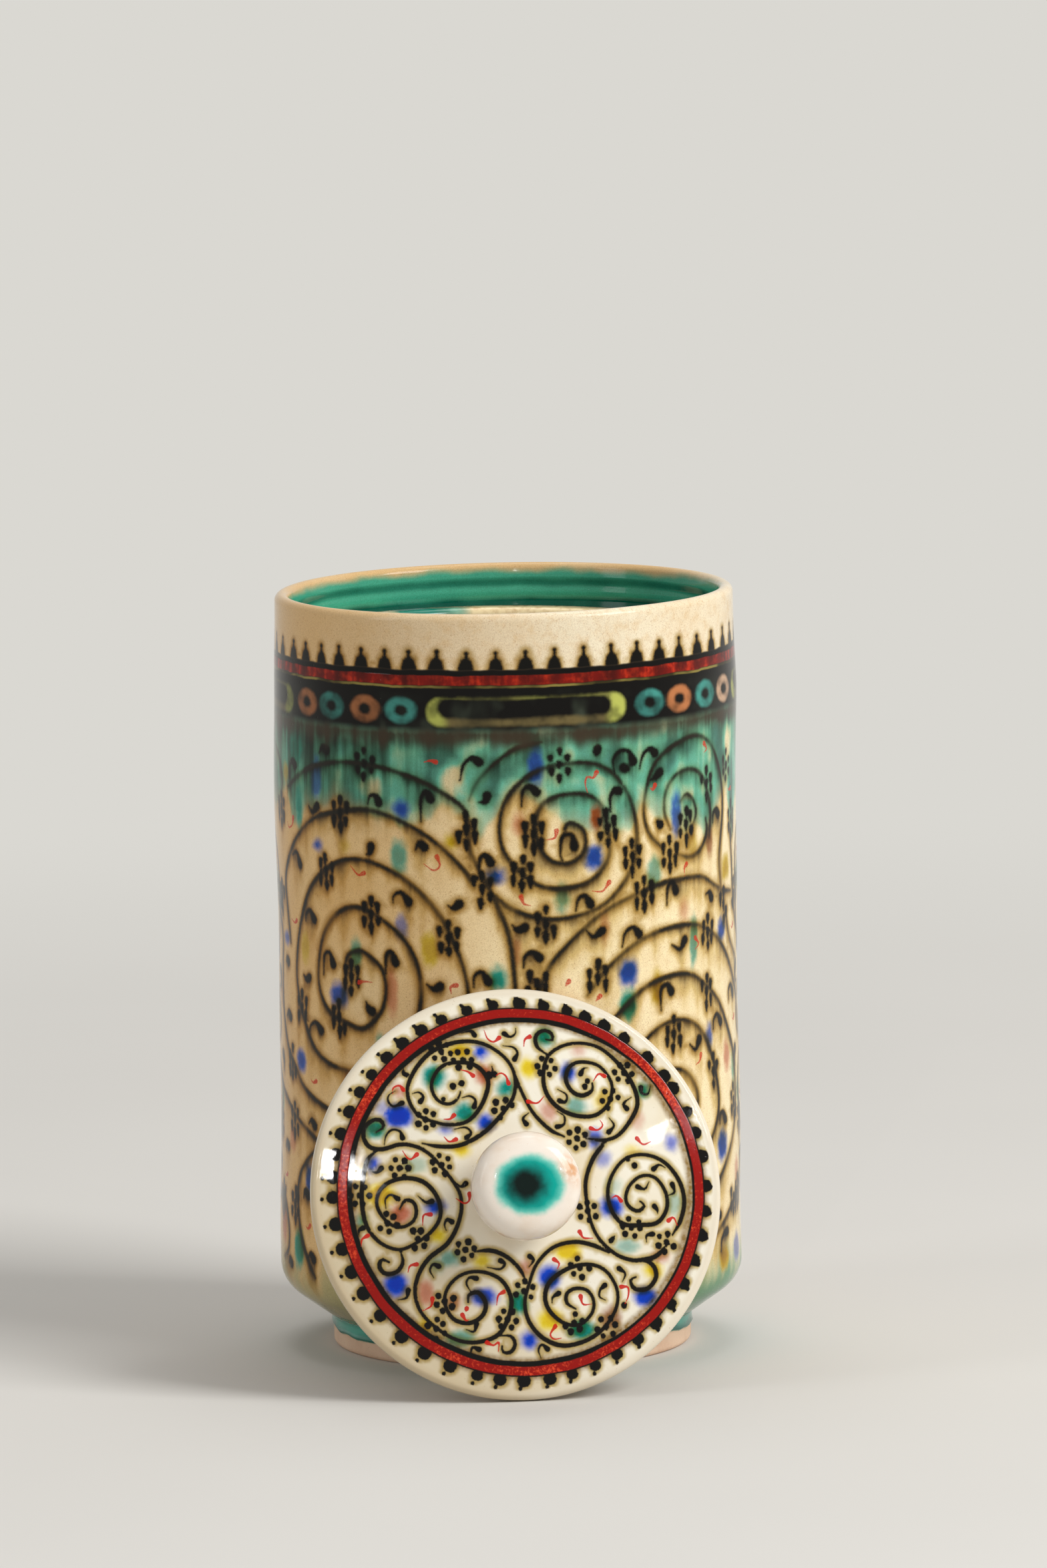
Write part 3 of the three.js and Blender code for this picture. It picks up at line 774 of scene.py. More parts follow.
def wallSheet(j, every, spots, low, high):
    across = np.linspace(low[0], high[0], j["columns"] + 1)
    upwards = np.arange(low[1], high[1], j["seamStep"])[1:]
    border = [pointRow(across, s) for s in (low[1], high[1])]
    border += [np.c_[np.full(len(upwards), u), upwards] for u in (low[0], high[0])]
    rows = [pointRow(across, s) for s in j["rows"]] + [pointRow(across + 0.99, 21)]
    rows += [pointRow(np.arange(low[0], high[0], j["windowStep"]), s) for s in j["windowRows"]]
    cloud = np.vstack([pointsAlong(every, jarBrush["margin"])] + rows + [ovalRings(spots)])
    inside = (cloud > low + 0.35).all(1) & (cloud < high - 0.35).all(1)
    grid = hexGrid(low + 1, high - 0.8, j["gridStep"])
    return fillSheet(cloud[inside], np.vstack(border), grid, every, 0.95)


def wallFields(flat, layers, spots, tints, box, girth):
    k, d = jarBrush, jarDrawing
    u, s = flat.T
    fields = {name: distanceTo(flat, items, k["reach"]) for name, items in layers.items()}
    fields["blob"], fields["blobTint"] = nearestSpot(flat, spots, tints)
    fields["panel"], fields["panelTint"] = panelField(flat, jarBorder, girth)
    strokeInk = lambda p: smoothStep(-distanceTo(p, layers["line"] + layers["dot"], 1.2), -0.5, 0.3)
    borderInk = lambda p: (p[:, 1] > k["borderFoot"]).astype(float)
    fields["smear"] = smearField(flat, strokeInk, box, k["smearCell"], k["run"], 11)
    fromBorder = smearField(flat, borderInk, box, k["smearCell"], k["borderRun"], 12)
    fields["smear"] = np.maximum(fields["smear"], np.where(s < 170, fromBorder, 0))
    front = fromPlace(u, 0, girth / 2)       # back to the front's drawing
    front[np.abs(u) > girth / 4] *= -1
    drips = readPoints(d["drips"])
    fields["drip"] = np.clip(s - np.interp(front, drips[:, 0], drips[:, 1]), -9, 30)
    tone = np.full(len(flat), 0.5)
    for name, sign in (("bare", -1), ("deep", 1)):
        for x, y, w, h, strength in ovals(d[name]):
            far = np.hypot((front - x) / (w / 2), (s - y) / (h / 2))
            tone += sign * 0.5 * strength * (1 - smoothStep(far, 0.5, 1.5))
    fields["tone"] = np.clip(tone, 0, 1)
    fields["height"] = s
    fields["side"] = litSideOf(u)
    return fields


def makeJar(j):
    under, wallLine, mouth = jarOutline(j)
    along = lengths(wallLine)
    along = along - along[-1] + wallLine[-1, 1]      # on the wall this is the height, to within 0.1 mm
    girth = 2 * math.pi * j["drawRadius"]
    lipArc = j["lip"] / 2 * math.pi / 2
    layers, spots, tints = drawWall(girth)
    every = layers["line"] + layers["dot"] + layers["fleck"]
    low, high = np.array([-girth / 2, along[0]]), np.array([girth / 2, along[-1]])
    flat, faces = wallSheet(j, every, spots, low, high)
    print("jar wall:", len(flat), "points,", len(faces), "faces")

    r, z = (np.interp(flat[:, 1], along, wallLine[:, k]) for k in (0, 1))
    turn = flat[:, 0] / j["drawRadius"]
    obj = newObject("jar_shell", np.c_[r * np.sin(turn), -r * np.cos(turn), z] * mm, (), faces)
    fields = wallFields(flat, layers, spots, tints, (low, high), girth)
    fields["past"] = np.minimum(flat[:, 1] - high[1], 0) - lipArc       # mm past the top of the lip
    for name, values in fields.items():
        setField(obj, name, values)

    rest = []
    for name, outline, isMouth in (("mouth", mouth, True), ("under", under, False)):
        part = spinOutline(name, outline, j["columns"])
        spot, turn, r = measure(part)
        drip = 30.0 if isMouth else -9.0
        leaveUnpainted(part, fields, {"tone": 0.5, "smear": 0, "past": -300.0, "drip": drip})
        setField(part, "side", litSideOf(turn * j["drawRadius"]))
        setField(part, "height", spot[:, 2])
        if isMouth:
            setField(part, "past", wayAlong(outline, r, spot[:, 2]) - lipArc)
        rest.append(part)
    weld(obj, *rest)
    standOnAxis(obj, thrownWall(places(obj), j))
    return obj


jar = makeJar(jarShape)
print("jar shell made:", len(jar.data.polygons), "faces")


# the foot ring and the seat ring

footShape = {
    "radius": 47.2, "width": 5.7, "height": 8.3, "bevel": 1.4, "flare": 0.8, "columns": 192,
    "glazeStop": 4.9,        # the glaze stops about here, in a thick rolled edge
    "glazeThick": 0.28,
    # how that edge wanders: mm, waves round the ring, where they start
    "wander": ((0.5, 3, 1), (0.35, 7, 0), (0.22, 17, 2), (0.15, 31, 0)),
}


def makeFoot(f):
    r, h = f["radius"], f["height"]
    inner, top = r - f["width"], h - 0.02
    outside = [[inner + 1.2, 0.0], [r - f["width"] / 2, 0], [r - f["bevel"] - 0.3, 0.02]]
    outside += arc((r - f["bevel"], f["bevel"]), f["bevel"], -90, 0, 7).tolist()
    outside += [[r, z] for z in np.arange(1.8, h - 1.6, 0.36)]
    flare = bend((r, h - 1.6), (r, h - 0.9), (r + f["flare"] * 0.4, h - 0.3), (r + f["flare"], top), 6)
    inside = [[inner - f["flare"], top], [inner - 0.2, h - 1.0], [inner, h - 2.2], [inner, 4], [inner, 1.6],
              [inner + 0.3, 0.6], [inner + 1.2, 0]]
    obj = spinOutline("foot", lineUp(outside, flare, [[r - 1, top]], inside), f["columns"])
    spot, turn, radius = measure(obj)
    stop = f["glazeStop"] + sum(size * np.sin(waves * turn + start) for size, waves, start in f["wander"])
    above = spot[:, 2] - stop
    outer = smoothStep(radius, r - 1.6, r - 0.4)
    roll = 1 + 0.9 * np.exp(-((above - 0.6) / 0.55) ** 2)
    push = f["glazeThick"] * outer * smoothStep(above, -0.1, 0.5) * roll
    push *= 1 - 0.6 * smoothStep(spot[:, 2], h - 1.6, h)
    spot[:, :2] *= ((radius + push) / radius)[:, None]
    standOnAxis(obj, spot * mm)
    setField(obj, "glazed", np.where(outer > 0.3, above, -3))
    shadeSmooth(obj)
    return obj


seatShape = {"outer": 55.4, "top": 188.8, "width": 6, "nose": 1.9, "depth": 6, "columns": 144}


def makeSeat(s):
    outer, top, bottom = s["outer"], s["top"], s["top"] - s["depth"]
    nose = arc((outer - s["width"] + s["nose"], top - s["nose"]), s["nose"], 90, 243, 12)
    outline = lineUp([[outer, bottom], [outer, top - 0.3], [outer - 0.3, top], [outer - 2, top - 0.04]], nose,
                     [[outer - 2.4, bottom + 1.4], [outer, bottom]])
    obj = spinOutline("seat", outline, s["columns"])
    spot, turn, _ = measure(obj)
    spot[:, 2] += 0.12 * np.sin(2 * turn + 0.6) * smoothStep(spot[:, 2], top - 2, top) - 0.06
    standOnAxis(obj, spot * mm)
    shadeSmooth(obj)
    return obj


foot = makeFoot(footShape)
seat = makeSeat(seatShape)
print("foot and seat rings made")


# the lid, drawn flat: mm to the right and up from its middle, as its face is seen

lidPlace = {
    "middle": (0.9, -53.582, 50.910),
    "lean": 15.7,
    "turn": 8.2,
}

lidShape = {
    "radius": 53.3, "edge": 4.4, "edgeRound": 1.7, "border": 6.7, "borderRise": 0.92,
    "groove": 0.03,          # between the border and the dome
    "dome": 4.58, "pad": 9.5, "seatWidth": 8, "hollow": 4.6, "columns": 208,
    "shift": (0.45, 0.2),    # of the drawing on the plate
    # circles of mesh points: round the drawn ring, near the rim and the knob, and beside the groove
    "ringRows": (43, 43.9, 44.9, 45.5, 46.4, 47.3, 47.9),
    "plainRows": (50.6, 51.2, 9.5, 12),
    "grooveRows": (-1, -0.5, -0.25, 0, 0.25, 0.5, 1),
    "gridStep": 1.45,
}

lidDrawing = {
    "lineWidth": 1.2,
    "lines": [
        "-14.3 26.2, -14.8 24.8, -16.6 23.3, -18.7 23.3, -20.6 24.7, -21.6 27.4, -21.1 30, -19 32.8, "
            "-15.9 33.9, -11 33.5,-7.9 31, -7 27.6, -9.3 22.1, -13 18.4, -17.3 17.7, -20.8 18.4, "
            "-25.4 20.6, -27.7 25, -27.3 29.3, -24.2 34.2,-20 37.6, -13.8 39.4, -8 38.8, -3 35.6, "
            "-0.3 31.4, -0.1 26.4, -1.7 22.7, -6 17.8, -10.3 14.4, -15.5 12.2, -20.8 12.2, -24.9 13.2",
        "-36.4 16.7, -34.5 18, -35.2 19.8, -37.4 19.7, -39.4 17.9, -39.6 15.2, -38.2 12.9, -35 12.2, "
            "-30.5 13.2, -26.5 12.4,-23.2 10.3, -20.4 6.9, -17.6 3, -15.9 -0.5, -15.8 -4.6, -17.3 -9.2, "
            "-20 -13.2, -24.5 -16.4, -27.3 -20.3, -28.5 -25,-27.2 -30, -23.5 -34.2, -18 -37.7, "
            "-12.4 -38.4, -7.2 -36.5, -4.4 -31.5, -4 -27.2, -6.4 -22.8, -11.2 -20.6, -16.2 -21,-19.9 -24, "
            "-21 -28, -19 -32.2, -14.8 -33.5, -11.4 -31.7, -10.5 -28.6, -12.4 -25.8, -14.8 -26.4, "
            "-15 -28.2",
        "-31.5 -3.5, -30.1 -1.4, -28 -1.9, -27.3 -4.4, -28.4 -7, -31.5 -8.2, -34.7 -6.8, -37.1 -2.9, "
            "-36.8 0.6, -34.3 3.3,-29.6 4.4, -24.9 3, -21.8 -1, -21.2 -5.6, -23.5 -9.5, -28 -12.6, "
            "-32.3 -13.9, -36.8 -11.9, -40 -7.6, -41 -1.6, -40.4 5, -38.8 9.9, -36.2 12.1",
        "-34.8 -17, -36.6 -16.2, -37.3 -18, -35.8 -19.9, -33 -19.6, -31.3 -17.3, -31.8 -14.3",
        "-12.9 -15.3, -8.4 -15.3, -4.4 -17.2, -1.2 -20.6, 0.1 -23.8",
        "-6.9 -37, -4.2 -37.3, -3.2 -39.4, -4.4 -41.3, -6.4 -41.2, -6.6 -39.7",
        "-0.3 31.8, 1.2 26.5, 4 20.2, 8.2 15.5, 11.9 13.5",
        "20.2 27.3, 20 25.4, 17.4 24.1, 14.8 25.2, 13.3 28.3, 14.4 31.6, 17.4 33, 22.3 31.8, 25.3 27.2, "
            "24.4 22.4, 21.2 19.2,17.1 18.6, 12.4 20, 8.8 23.4, 7.4 28, 8.6 34, 12.2 37, 17.4 38, "
            "22.8 36.6, 27.5 32.3, 30.6 27.4, 31.9 22.4, 30.4 18.4,26.4 13.7, 22.3 12.3, 17.6 12.9",
        "8.9 39.2, 10.6 39, 10.4 40.8, 8.4 41.6, 6.3 40.2, 6.4 37.4, 8.6 35.4",
        "31 -3.8, 32.1 -5, 30.2 -6.3, 27.9 -5, 27.2 -2.6, 28.6 0.6, 31.8 2.8, 35.4 2.2, 37.9 -1.6, "
            "38 -5.8, 35.4 -9.3, 31.3 -9.9,26.4 -9.6, 23.4 -6.2, 22.5 -1.2, 24.2 3.7, 27.8 7.4, 32.7 8.3, "
            "37.8 6.4, 41.5 1.8, 42.8 -3.6, 41.6 -8.8, 39.2 -12.6",
        "23.4 12.6, 19.4 8, 17 2.4, 16.8 -3, 17.8 -9.2, 20 -13.6, 24 -17.3, 28.2 -18.9, 31.8 -19, "
            "34.1 -21, 34.2 -23.8,31.8 -26.3, 28.6 -26.2, 27.5 -24, 29 -23.2",
        "28.2 -18.9, 34.1 -18.2, 38 -14.8",
        "12.8 -30.9, 10.6 -29.4, 10.6 -27, 12.9 -25.7, 16 -26.3, 17.6 -29, 17 -32.2, 13.8 -34.9, "
            "9.8 -34.5, 6.2 -31.5, 4.9 -27.9,6 -24.2, 9.6 -21.3, 14 -19.8, 18.4 -20, 21.6 -22, 23.8 -26, "
            "23.8 -30, 21.8 -34, 18.4 -37.4, 14 -39.5, 8.8 -40.1, 3.9 -37.9,0.6 -33.8, -0.4 -29, "
            "0.8 -24.4, 3 -19.2, 7.4 -15.1, 13 -13.8, 18 -14.8, 22 -16.8",
    ],
    "rosettes": "-18.5 37, -13 34.5, -3.5 21.3, -23.7 19.3, -31 7, -20.3 7.3, 8.3 31.9, 28.8 29.8, "
        "24.7 23, 15.2 12.9, 30 5.5, -41.5 0.5, -34.8 -7, -27.3 -11.5, -15.2 -14.8, -21 -27.7, "
        "-23.4 -34.6, -5 -33, -0.5 -26, 17 -6, 28.3 -10.5, 37.5 -14.5, 14.3 -20.5, 12.3 -34.5, 20.7 -35.8",
    "dots": "-16.1 27.7 1, -13.8 28.4 .9, 18.2 26.4 .9, 19 27.9 .8, -18.8 24.4 .7, -5.2 30.4 .9, "
        "-6.6 30.6 .8, 25.6 -30.4 .9",
    "hooks": [
        "-24.7 24.1, -23.9 25.4, -25 26.6, -26.6 26.3", "-11 22.1, -10.6 23.9, -12 25, -14 24.6",
        "-13.5 14.1, -12.2 15.4, -13.6 16.8, -16.4 16.5",
        "-29.4 24, -31.6 23.2, -32.9 24.6, -32.6 26.2, -31 27.2", "-27.7 31.3, -28.6 31.8, -28.4 33",
        "-9.6 41, -10.4 42.1, -13 41.7", "-1.9 41.1, -0.4 40.2, 1 41, 1.2 42.4",
        "0.3 34.2, 1.2 35.9, 0.2 37.4, -2.4 37.9",
        "-29.8 14.8, -30.4 16.6, -32.4 17.1, -34 15.6, -34.6 13.2", "-35.6 7.3, -37 6.2, -38.8 7.2",
        "-6.5 29.8, -5.6 31, -5.7 32.6", "17.3 29.8, 18.2 31.2, 19.2 31.4",
        "11.2 22.9, 12.8 22.5, 13.2 24.4, 11 25.9", "28.9 20.4, 28.1 21.8, 30.3 23.4",
        "33 25.9, 33.2 24.4, 34.8 24.2, 35.6 26.2", "2.2 17.1, 1.4 18.6, 3 20",
        "10.2 16.1, 12 16.7, 12.2 18.8, 10.4 20.2", "23.6 14.3, 25.2 16.1, 24 18.1",
        "-31.8 -0.9, -33.6 0.3, -35 -0.8, -35 -3.1", "-23.2 -1.9, -24.8 -2.1, -26.7 -0.4",
        "-18.3 -7.5, -19.6 -6.7, -20.3 -8.2, -19.9 -9.6", "-14.3 2.3, -15.6 1.5, -17.5 3.1",
        "-6.3 -17.9, -5.2 -18.9, -6.6 -20.1, -9.7 -19.5",
        "-22.2 -18.7, -23.6 -18.1, -24.5 -19.6, -23.6 -21.5", "-30.2 -24.4, -30.7 -26.3, -32.8 -26.7",
        "-12.7 -22.2, -14.4 -21.9, -15.3 -23.4, -14.2 -25.7", "-13 -33.7, -13.7 -35.7, -15.7 -35.1",
        "-12.5 -40.3, -14.3 -39.7, -14.8 -42", "34.7 -5.1, 35.4 -6, 35.5 -7",
        "39.8 0.5, 40.3 -1.6, 38.4 -2.4", "22.7 -13.8, 23.8 -12.6", "33.9 -12.3, 32.3 -12.6, 32.2 -14.3",
        "8.5 -26.8, 6.9 -27.8, 6.7 -29.2", "20.7 -25.1, 19.4 -26.3, 19.2 -28, 20.7 -28.9",
        "24.6 -20.9, 26.2 -22.3, 25.4 -24.3", "5.2 -40.9, 3.8 -39.7, 2.8 -41, 3.4 -43.1",
        "1.3 -17.1, 2.3 -18.2, 1 -19.8", "-40.9 -7.8, -42 -8.4, -42.2 -9.6", "35 4.5, 36.6 5.6, 38.2 4.8",
        "30.5 0, 32.4 -0.6, 33.6 1.2",
    ],
    "flecks": [
        "-10.7 30.3, -12 31.4, -13.8 32", "-1.7 27.9, -2.3 29.9, -3.6 30.7, -5 29.9",
        "-16.2 13.8, -18 13.3, -19.2 14.6", "-16.3 20.2, -17.4 19.2, -19 19.2",
        "-28.8 27.4, -29.8 28.6, -31.4 28, -31.6 26.6", "-3.2 40.1, -4.8 39, -6.3 40, -7 42.2",
        "-26.4 10.4, -28 9.2, -29 9.8, -30 11.5", "23.6 29.1, 22 29.7, 20.5 27.8",
        "3 23, 5.4 22.5, 7.4 24.3", "4.8 40.1, 3.4 39.4, 3 37.6", "19 15.5, 20.8 15, 22.2 16.2, 21.6 17.6",
        "31.1 12.6, 32.6 11, 34.8 11.7", "-23.7 -5.3, -25.5 -5.4, -25.9 -8",
        "-39.9 -9.9, -41.4 -10.8, -41.7 -12.5", "-13.5 -0.4, -13.7 -2.2, -15 -2.8, -17 -1.5",
        "-24.1 -26.8, -24.5 -28.7, -26.7 -29.8", "-27.8 -17.9, -29.5 -18.2, -30.1 -19.8",
        "-5.7 -25.9, -7.2 -26.8, -7.7 -29.2", "-15.4 -29.7, -15.6 -30.3",
        "-16.6 -31.3, -15.7 -32.8, -14.9 -32.6", "25.9 -3.5, 24.8 -2.2, 23.3 -2.9",
        "38.3 -8.9, 39.7 -8.1, 40.6 -10.1", "14.6 -11.2, 15.6 -12.8, 18 -13",
        "7.6 -18.1, 8.9 -19.2, 8.4 -20.5", "14.2 -27.7, 14.8 -29.8, 17 -29.8",
        "25 -25.6, 26.8 -25.8, 26.8 -28, 25.9 -29.9", "7.4 -35.1, 6 -37.2, 7 -38.4, 8.8 -38.2",
        "-10.5 -38.6, -8.8 -39.4, -7.4 -38.6, -7.6 -41",
    ],
    "blue": "-8.4 36.5 3.8 3.6 .85, -8.3 17.9 4.5 4.5 .85, -18.8 16.8 3.8 2.8 .6, -30.5 20.7 8 6.5 1, "
        "-34.1 22.7 4 4 .4, -37.9 8.3 3.5 4 .8, 14 30.4 4 5 .9, 19.9 12.7 4.4 5 .7, 40.2 11.3 3 4 .6, "
        "-22.5 -3.3 5 4 .8, -33.4 -22.7 6 6 .95, -11 -27 7 4.5 .75, 0.7 -38.4 4.5 4.3 .9, 23.3 -5 6 5.5 1, "
        "6.3 -22.7 5.5 6.5 .85, 31.3 -28.3 6 5 .8, 21.6 7.6 4 4 .5",
    "turquoise": "-20.7 30.4 6 6 1, -13.5 20.7 5.5 5 .9, -2.3 26.6 4.5 4.5 .95, -36.7 17.5 5.5 5 1, "
        "15.7 21.4 5 4.5 .6, 8.6 39.8 5 5 .9, 33.5 25 3.5 4 .8, -41.2 -6 2.5 3 .6, -27 7.5 6 4 .35, "
        "-19.4 -16.8 5 4 .6, -17.3 -37.3 7 4 .6, -2 -29 4.5 6 .8, 40 -4.3 4 6 .4, 26.8 -15.1 6 3.5 .5, "
        "14.3 -36.3 7 5 .9, 24 0.5 4 4 .3, -22.5 -18 4 4 .4",
    "yellow": "-13.5 37 5.8 3.6 .95, -15 10.9 4.4 3.4 .75, 3.7 31.8 4.2 5 .8, 22.7 22.8 5 5 .5, "
        "29.6 9.6 4 2.4 .5, -36.4 0.5 7 6 .85, -22.1 -10.6 5 4.2 .8, -11 -17.9 4.5 4 .75, "
        "-26.3 -33.5 3.5 3.5 .7, 11.2 -16.1 7 5 .8, 33.8 -21.7 5 4 .8, 6 -33.5 6.5 5.5 .85",
    "salmon": "-7.9 30.4 4.5 4.5 .75, -30 27 3.2 3.5 .5, 8.2 20.3 4 5.5 .5, 17 36 3.4 3 .4, "
        "31.3 17.5 3.4 5 .35, -31.2 -4.7 4.8 5 .7, -25.8 -25.2 3.8 6 .6, -18.7 -28 3 3.6 .5, "
        "0 -20 3.4 4 .5, 35.8 -17.9 4 3 .5",
    "rust": "22 -33.5 5 6 .6",
    "ringMiddle": (0.5, 0.1),
    # the teeth round the border: where each stands, in degrees round from the right
    "teeth": "9 16.5 23.4 31.7 36.4 44 53.2 60.4 66.8 72.7 80 87.5 95.6 103.7 112 119 126 132.5 139.5 146 "
        "152.8 160 166.5 173.5 179.6 187.8 195.6 203 210.4 218.8 227.8 236.3 245 253.7 260.7 268 276 283 "
        "290.5 298 306 313.5 321 328.5 336.5 344.5 352 359.8",
}

lidTints = {
    "blue": (0, 72, 196), "turquoise": (0, 148, 134), "yellow": (228, 204, 44),
    "salmon": (192, 98, 62), "rust": (150, 82, 28),
}

lidBrush = {
    "lineStep": 0.9,
    "dot": 0.94, "dotGap": 2.28, "drop": 0.2, "stretch": 1.03,
    "singleDrop": 0.3,
    "hook": (0.78, 0.36), "fleck": (0.62, 0.26), "hookStep": 0.5,
    "tooth": (1.56, 1.6),    # half widths of a tooth's body
    "toothLength": 0.2,      # either way along the ring
    "toothRadius": 48.85, "toothIn": 0.5,       # the bodies sit this much further in on the right
    "tipRadius": 50.6, "tip": 0.6, "tipDrop": 0.1, "tipDrift": 0.06,
    "margin": 0.3,
    "reach": 2.5,
}


def lidHeight(s, r):  # of the top face
    flat, inner = s["radius"] - s["edgeRound"], s["radius"] - s["border"]
    rise = s["edge"] + s["borderRise"]
    top = rise + s["dome"]
    dome = bend((inner, rise), (inner * 0.75, rise + s["dome"] * 0.455), (inner * 0.5, top),
                (s["pad"], top), 60)
    line = lineUp([[0, top]], dome[::-1], [[flat, s["edge"]]])
    soft = np.interp(r, line[:, 0], line[:, 1])
    return soft - s["groove"] * np.exp(-((r - inner) / 0.45) ** 2)


def drawLid(d, k):
    draw = np.random.default_rng(5)
    layers = {"line": [scrollLine(text, d["lineWidth"] / 2, k["lineStep"]) for text in d["lines"]], "dot": []}
    for x, y in readPoints(d["rosettes"]):
        start = draw.uniform(0, math.pi / 3)
        layers["dot"] += clusterDots(x, y, k["dot"], k["dotGap"], k["drop"], k["stretch"], start, draw)
    layers["dot"] += [dotMark(x, y, half, k["singleDrop"]) for x, y, half in readPoints(d["dots"])]
    layers["dot"] += [hookMark(text, *k["hook"], k["hookStep"]) for text in d["hooks"]]
    layers["fleck"] = [hookMark(text, *k["fleck"], k["hookStep"]) for text in d["flecks"]]
    for angle in d["teeth"].split():
        a = math.radians(float(angle))
        way = np.array([math.cos(a), math.sin(a)])
        along = np.array([-way[1], way[0]]) * k["toothLength"]
        size = draw.uniform(0.9, 1.1)
        body = d["ringMiddle"] + way * (k["toothRadius"] - k["toothIn"] * max(way[0], 0))
        layers["dot"].append((np.array([body - along, body + along]), np.array(k["tooth"]) * size))
        # the tips keep to the plate's own middle, because the painted face ends there
        tip = way * k["tipRadius"] - lidShape["shift"] + draw.normal(0, k["tipDrift"], 2)
        layers["dot"].append(dotMark(*tip, k["tip"], k["tipDrop"]))
    return {name: [moved(s, lidShape["shift"]) for s in items] for name, items in layers.items()}


def lidMatrix(p):
    lean, turn = math.radians(p["lean"]), math.radians(p["turn"])
    place = Matrix.Rotation(turn, 4, "Z") @ Matrix.Rotation(math.pi / 2 - lean, 4, "X")
    place.translation = Vector(p["middle"]) * mm
    return place


def lidSheet(s, every, spots, middle):
    flatRadius, inner = s["radius"] - s["edgeRound"], s["radius"] - s["border"]
    a = np.linspace(0, 2 * math.pi, s["columns"] + 1)[:-1] + math.pi / 2
    circle = lambda radius, twist=0.0: radius * np.c_[np.cos(a + twist), np.sin(a + twist)]
    rows = [middle + circle(r, k * 0.015) for k, r in enumerate(s["ringRows"])]
    rows += [circle(r) for r in s["plainRows"]]
    rows += [circle(inner + r, r * 0.02) for r in s["grooveRows"]]
    cloud = np.vstack([pointsAlong(every, lidBrush["margin"])] + rows + [ovalRings(spots)])
    cloud = cloud[np.hypot(*cloud.T) < flatRadius - 0.25]
    grid = hexGrid((-flatRadius, -flatRadius), (flatRadius, flatRadius), s["gridStep"])
    grid = grid[np.hypot(*grid.T) < flatRadius - 0.5]
    return fillSheet(cloud, circle(flatRadius), grid, every, 0.7)


def makeLid(s, d):
    flatRadius = s["radius"] - s["edgeRound"]
    layers = drawLid(d, lidBrush)
    every = [item for items in layers.values() for item in items]
    spots, tints = spotsOf(d, lidTints)
    spots = [[x + s["shift"][0], y + s["shift"][1], *more] for x, y, *more in spots]
    middle = np.array(d["ringMiddle"]) + s["shift"]
    flat, faces = lidSheet(s, every, spots, middle)
    print("lid face:", len(flat), "points,", len(faces), "faces")
    obj = newObject("lid_plate_drawn", np.c_[flat, lidHeight(s, np.hypot(*flat.T))] * mm, (), faces)
    fields = {name: distanceTo(flat, items, lidBrush["reach"]) for name, items in layers.items()}
    fields["blob"], fields["blobTint"] = nearestSpot(flat, spots, tints)
    fields["ring"] = np.hypot(*(flat - middle).T)
    fields["rim"] = np.hypot(*flat.T)
    for name, values in fields.items():
        setField(obj, name, values)

    hollow, deep = s["radius"] - s["seatWidth"], s["hollow"]
    under = lineUp(
        arc((flatRadius, s["edge"] - s["edgeRound"]), s["edgeRound"], 90, 0, 9),
        arc((flatRadius, s["edgeRound"]), s["edgeRound"], 0, -90, 9),
        [[flatRadius - 2, 0], [hollow + 2, 0], [hollow + 0.6, 0.02]],
        bend((hollow, 0.12), (hollow * 0.85, deep * 0.4), (hollow * 0.5, deep), (0, deep), 26))
    part = spinOutline("lid_underside", under, s["columns"])
    spot, _, radius = measure(part)
    leaveUnpainted(part, fields, {})
    setField(part, "ring", radius)
    # past the rim it goes on counting round the edge and in underneath
    setField(part, "rim", flatRadius + wayAlong(under, radius, spot[:, 2]))
    weld(obj, part)
    obj.data.transform(lidMatrix(lidPlace))
    return obj


knobShape = {
    "foot": 10.2, "neck": 7.5, "neckHeight": 4.6, "flare": 1.2,
    "radius": 14.1, "underside": 6.2, "crown": 8, "columns": 96,
    "sink": 0.28,            # the neck's foot is luted to the plate
}


def makeKnob(k):
    neck, radius, crown = k["neck"], k["radius"], k["crown"]
    waist, wide = k["neckHeight"], k["neckHeight"] + k["underside"]
    top, base = wide + crown, -k["sink"]
    outline = lineUp(
        [[0, base], [4, base], [neck + k["flare"], base]],
        bend((neck + k["flare"], base + 0.05), (neck + 0.35, 0.4), (neck, 1.1), (neck, 2.6), 8),
        bend((neck, 2.6), (neck, 3.4), (neck + 0.1, 4.2), (neck + 0.9, waist + 0.15), 6),
        bend((neck + 0.9, waist + 0.15), (radius * 0.9, waist + 0.25),
             (radius, waist + k["underside"] * 0.55), (radius, wide), 18),
        bend((radius, wide), (radius, wide + crown * 0.85), (radius * 0.85, top), (0, top), 34))
    obj = spinOutline("knob", outline, k["columns"])
    spot, _, r = measure(obj)
    turn = np.arctan2(spot[:, 1], spot[:, 0])
    spot[:, :2] *= (1 + 0.006 * np.sin(2 * turn + 0.8) * smoothStep(r, 8, 13))[:, None]
    spot[:, 2] += 0.06 * np.sin(3 * turn) * smoothStep(r, 4, 10)
    x, y, z = spot.T
    # distances from the middle of the painted spot, and of the pool of thick glaze in it
    setField(obj, "crown", np.where(z > wide - 1, np.hypot(x + 0.1, (y + 0.45) * 1.17), 20))
    setField(obj, "pool", np.where(z > wide - 1, np.hypot(x + 0.9, (y + 0.55) * 1.1), 20))
    setField(obj, "level", z)
    setField(obj, "bare", np.exp(-((turn - 0.3) / 0.3) ** 2 - ((z - top + 1.6) / 1.3) ** 2))
    setPlaces(obj, (spot + (0, 0, k["foot"])) * mm)
    obj.data.transform(lidMatrix(lidPlace))
    shadeSmooth(obj)
    return obj


lid = makeLid(lidShape, lidDrawing)
knob = makeKnob(knobShape)
print("lid made:", len(lid.data.polygons), "faces")


# what the finishes are mixed from

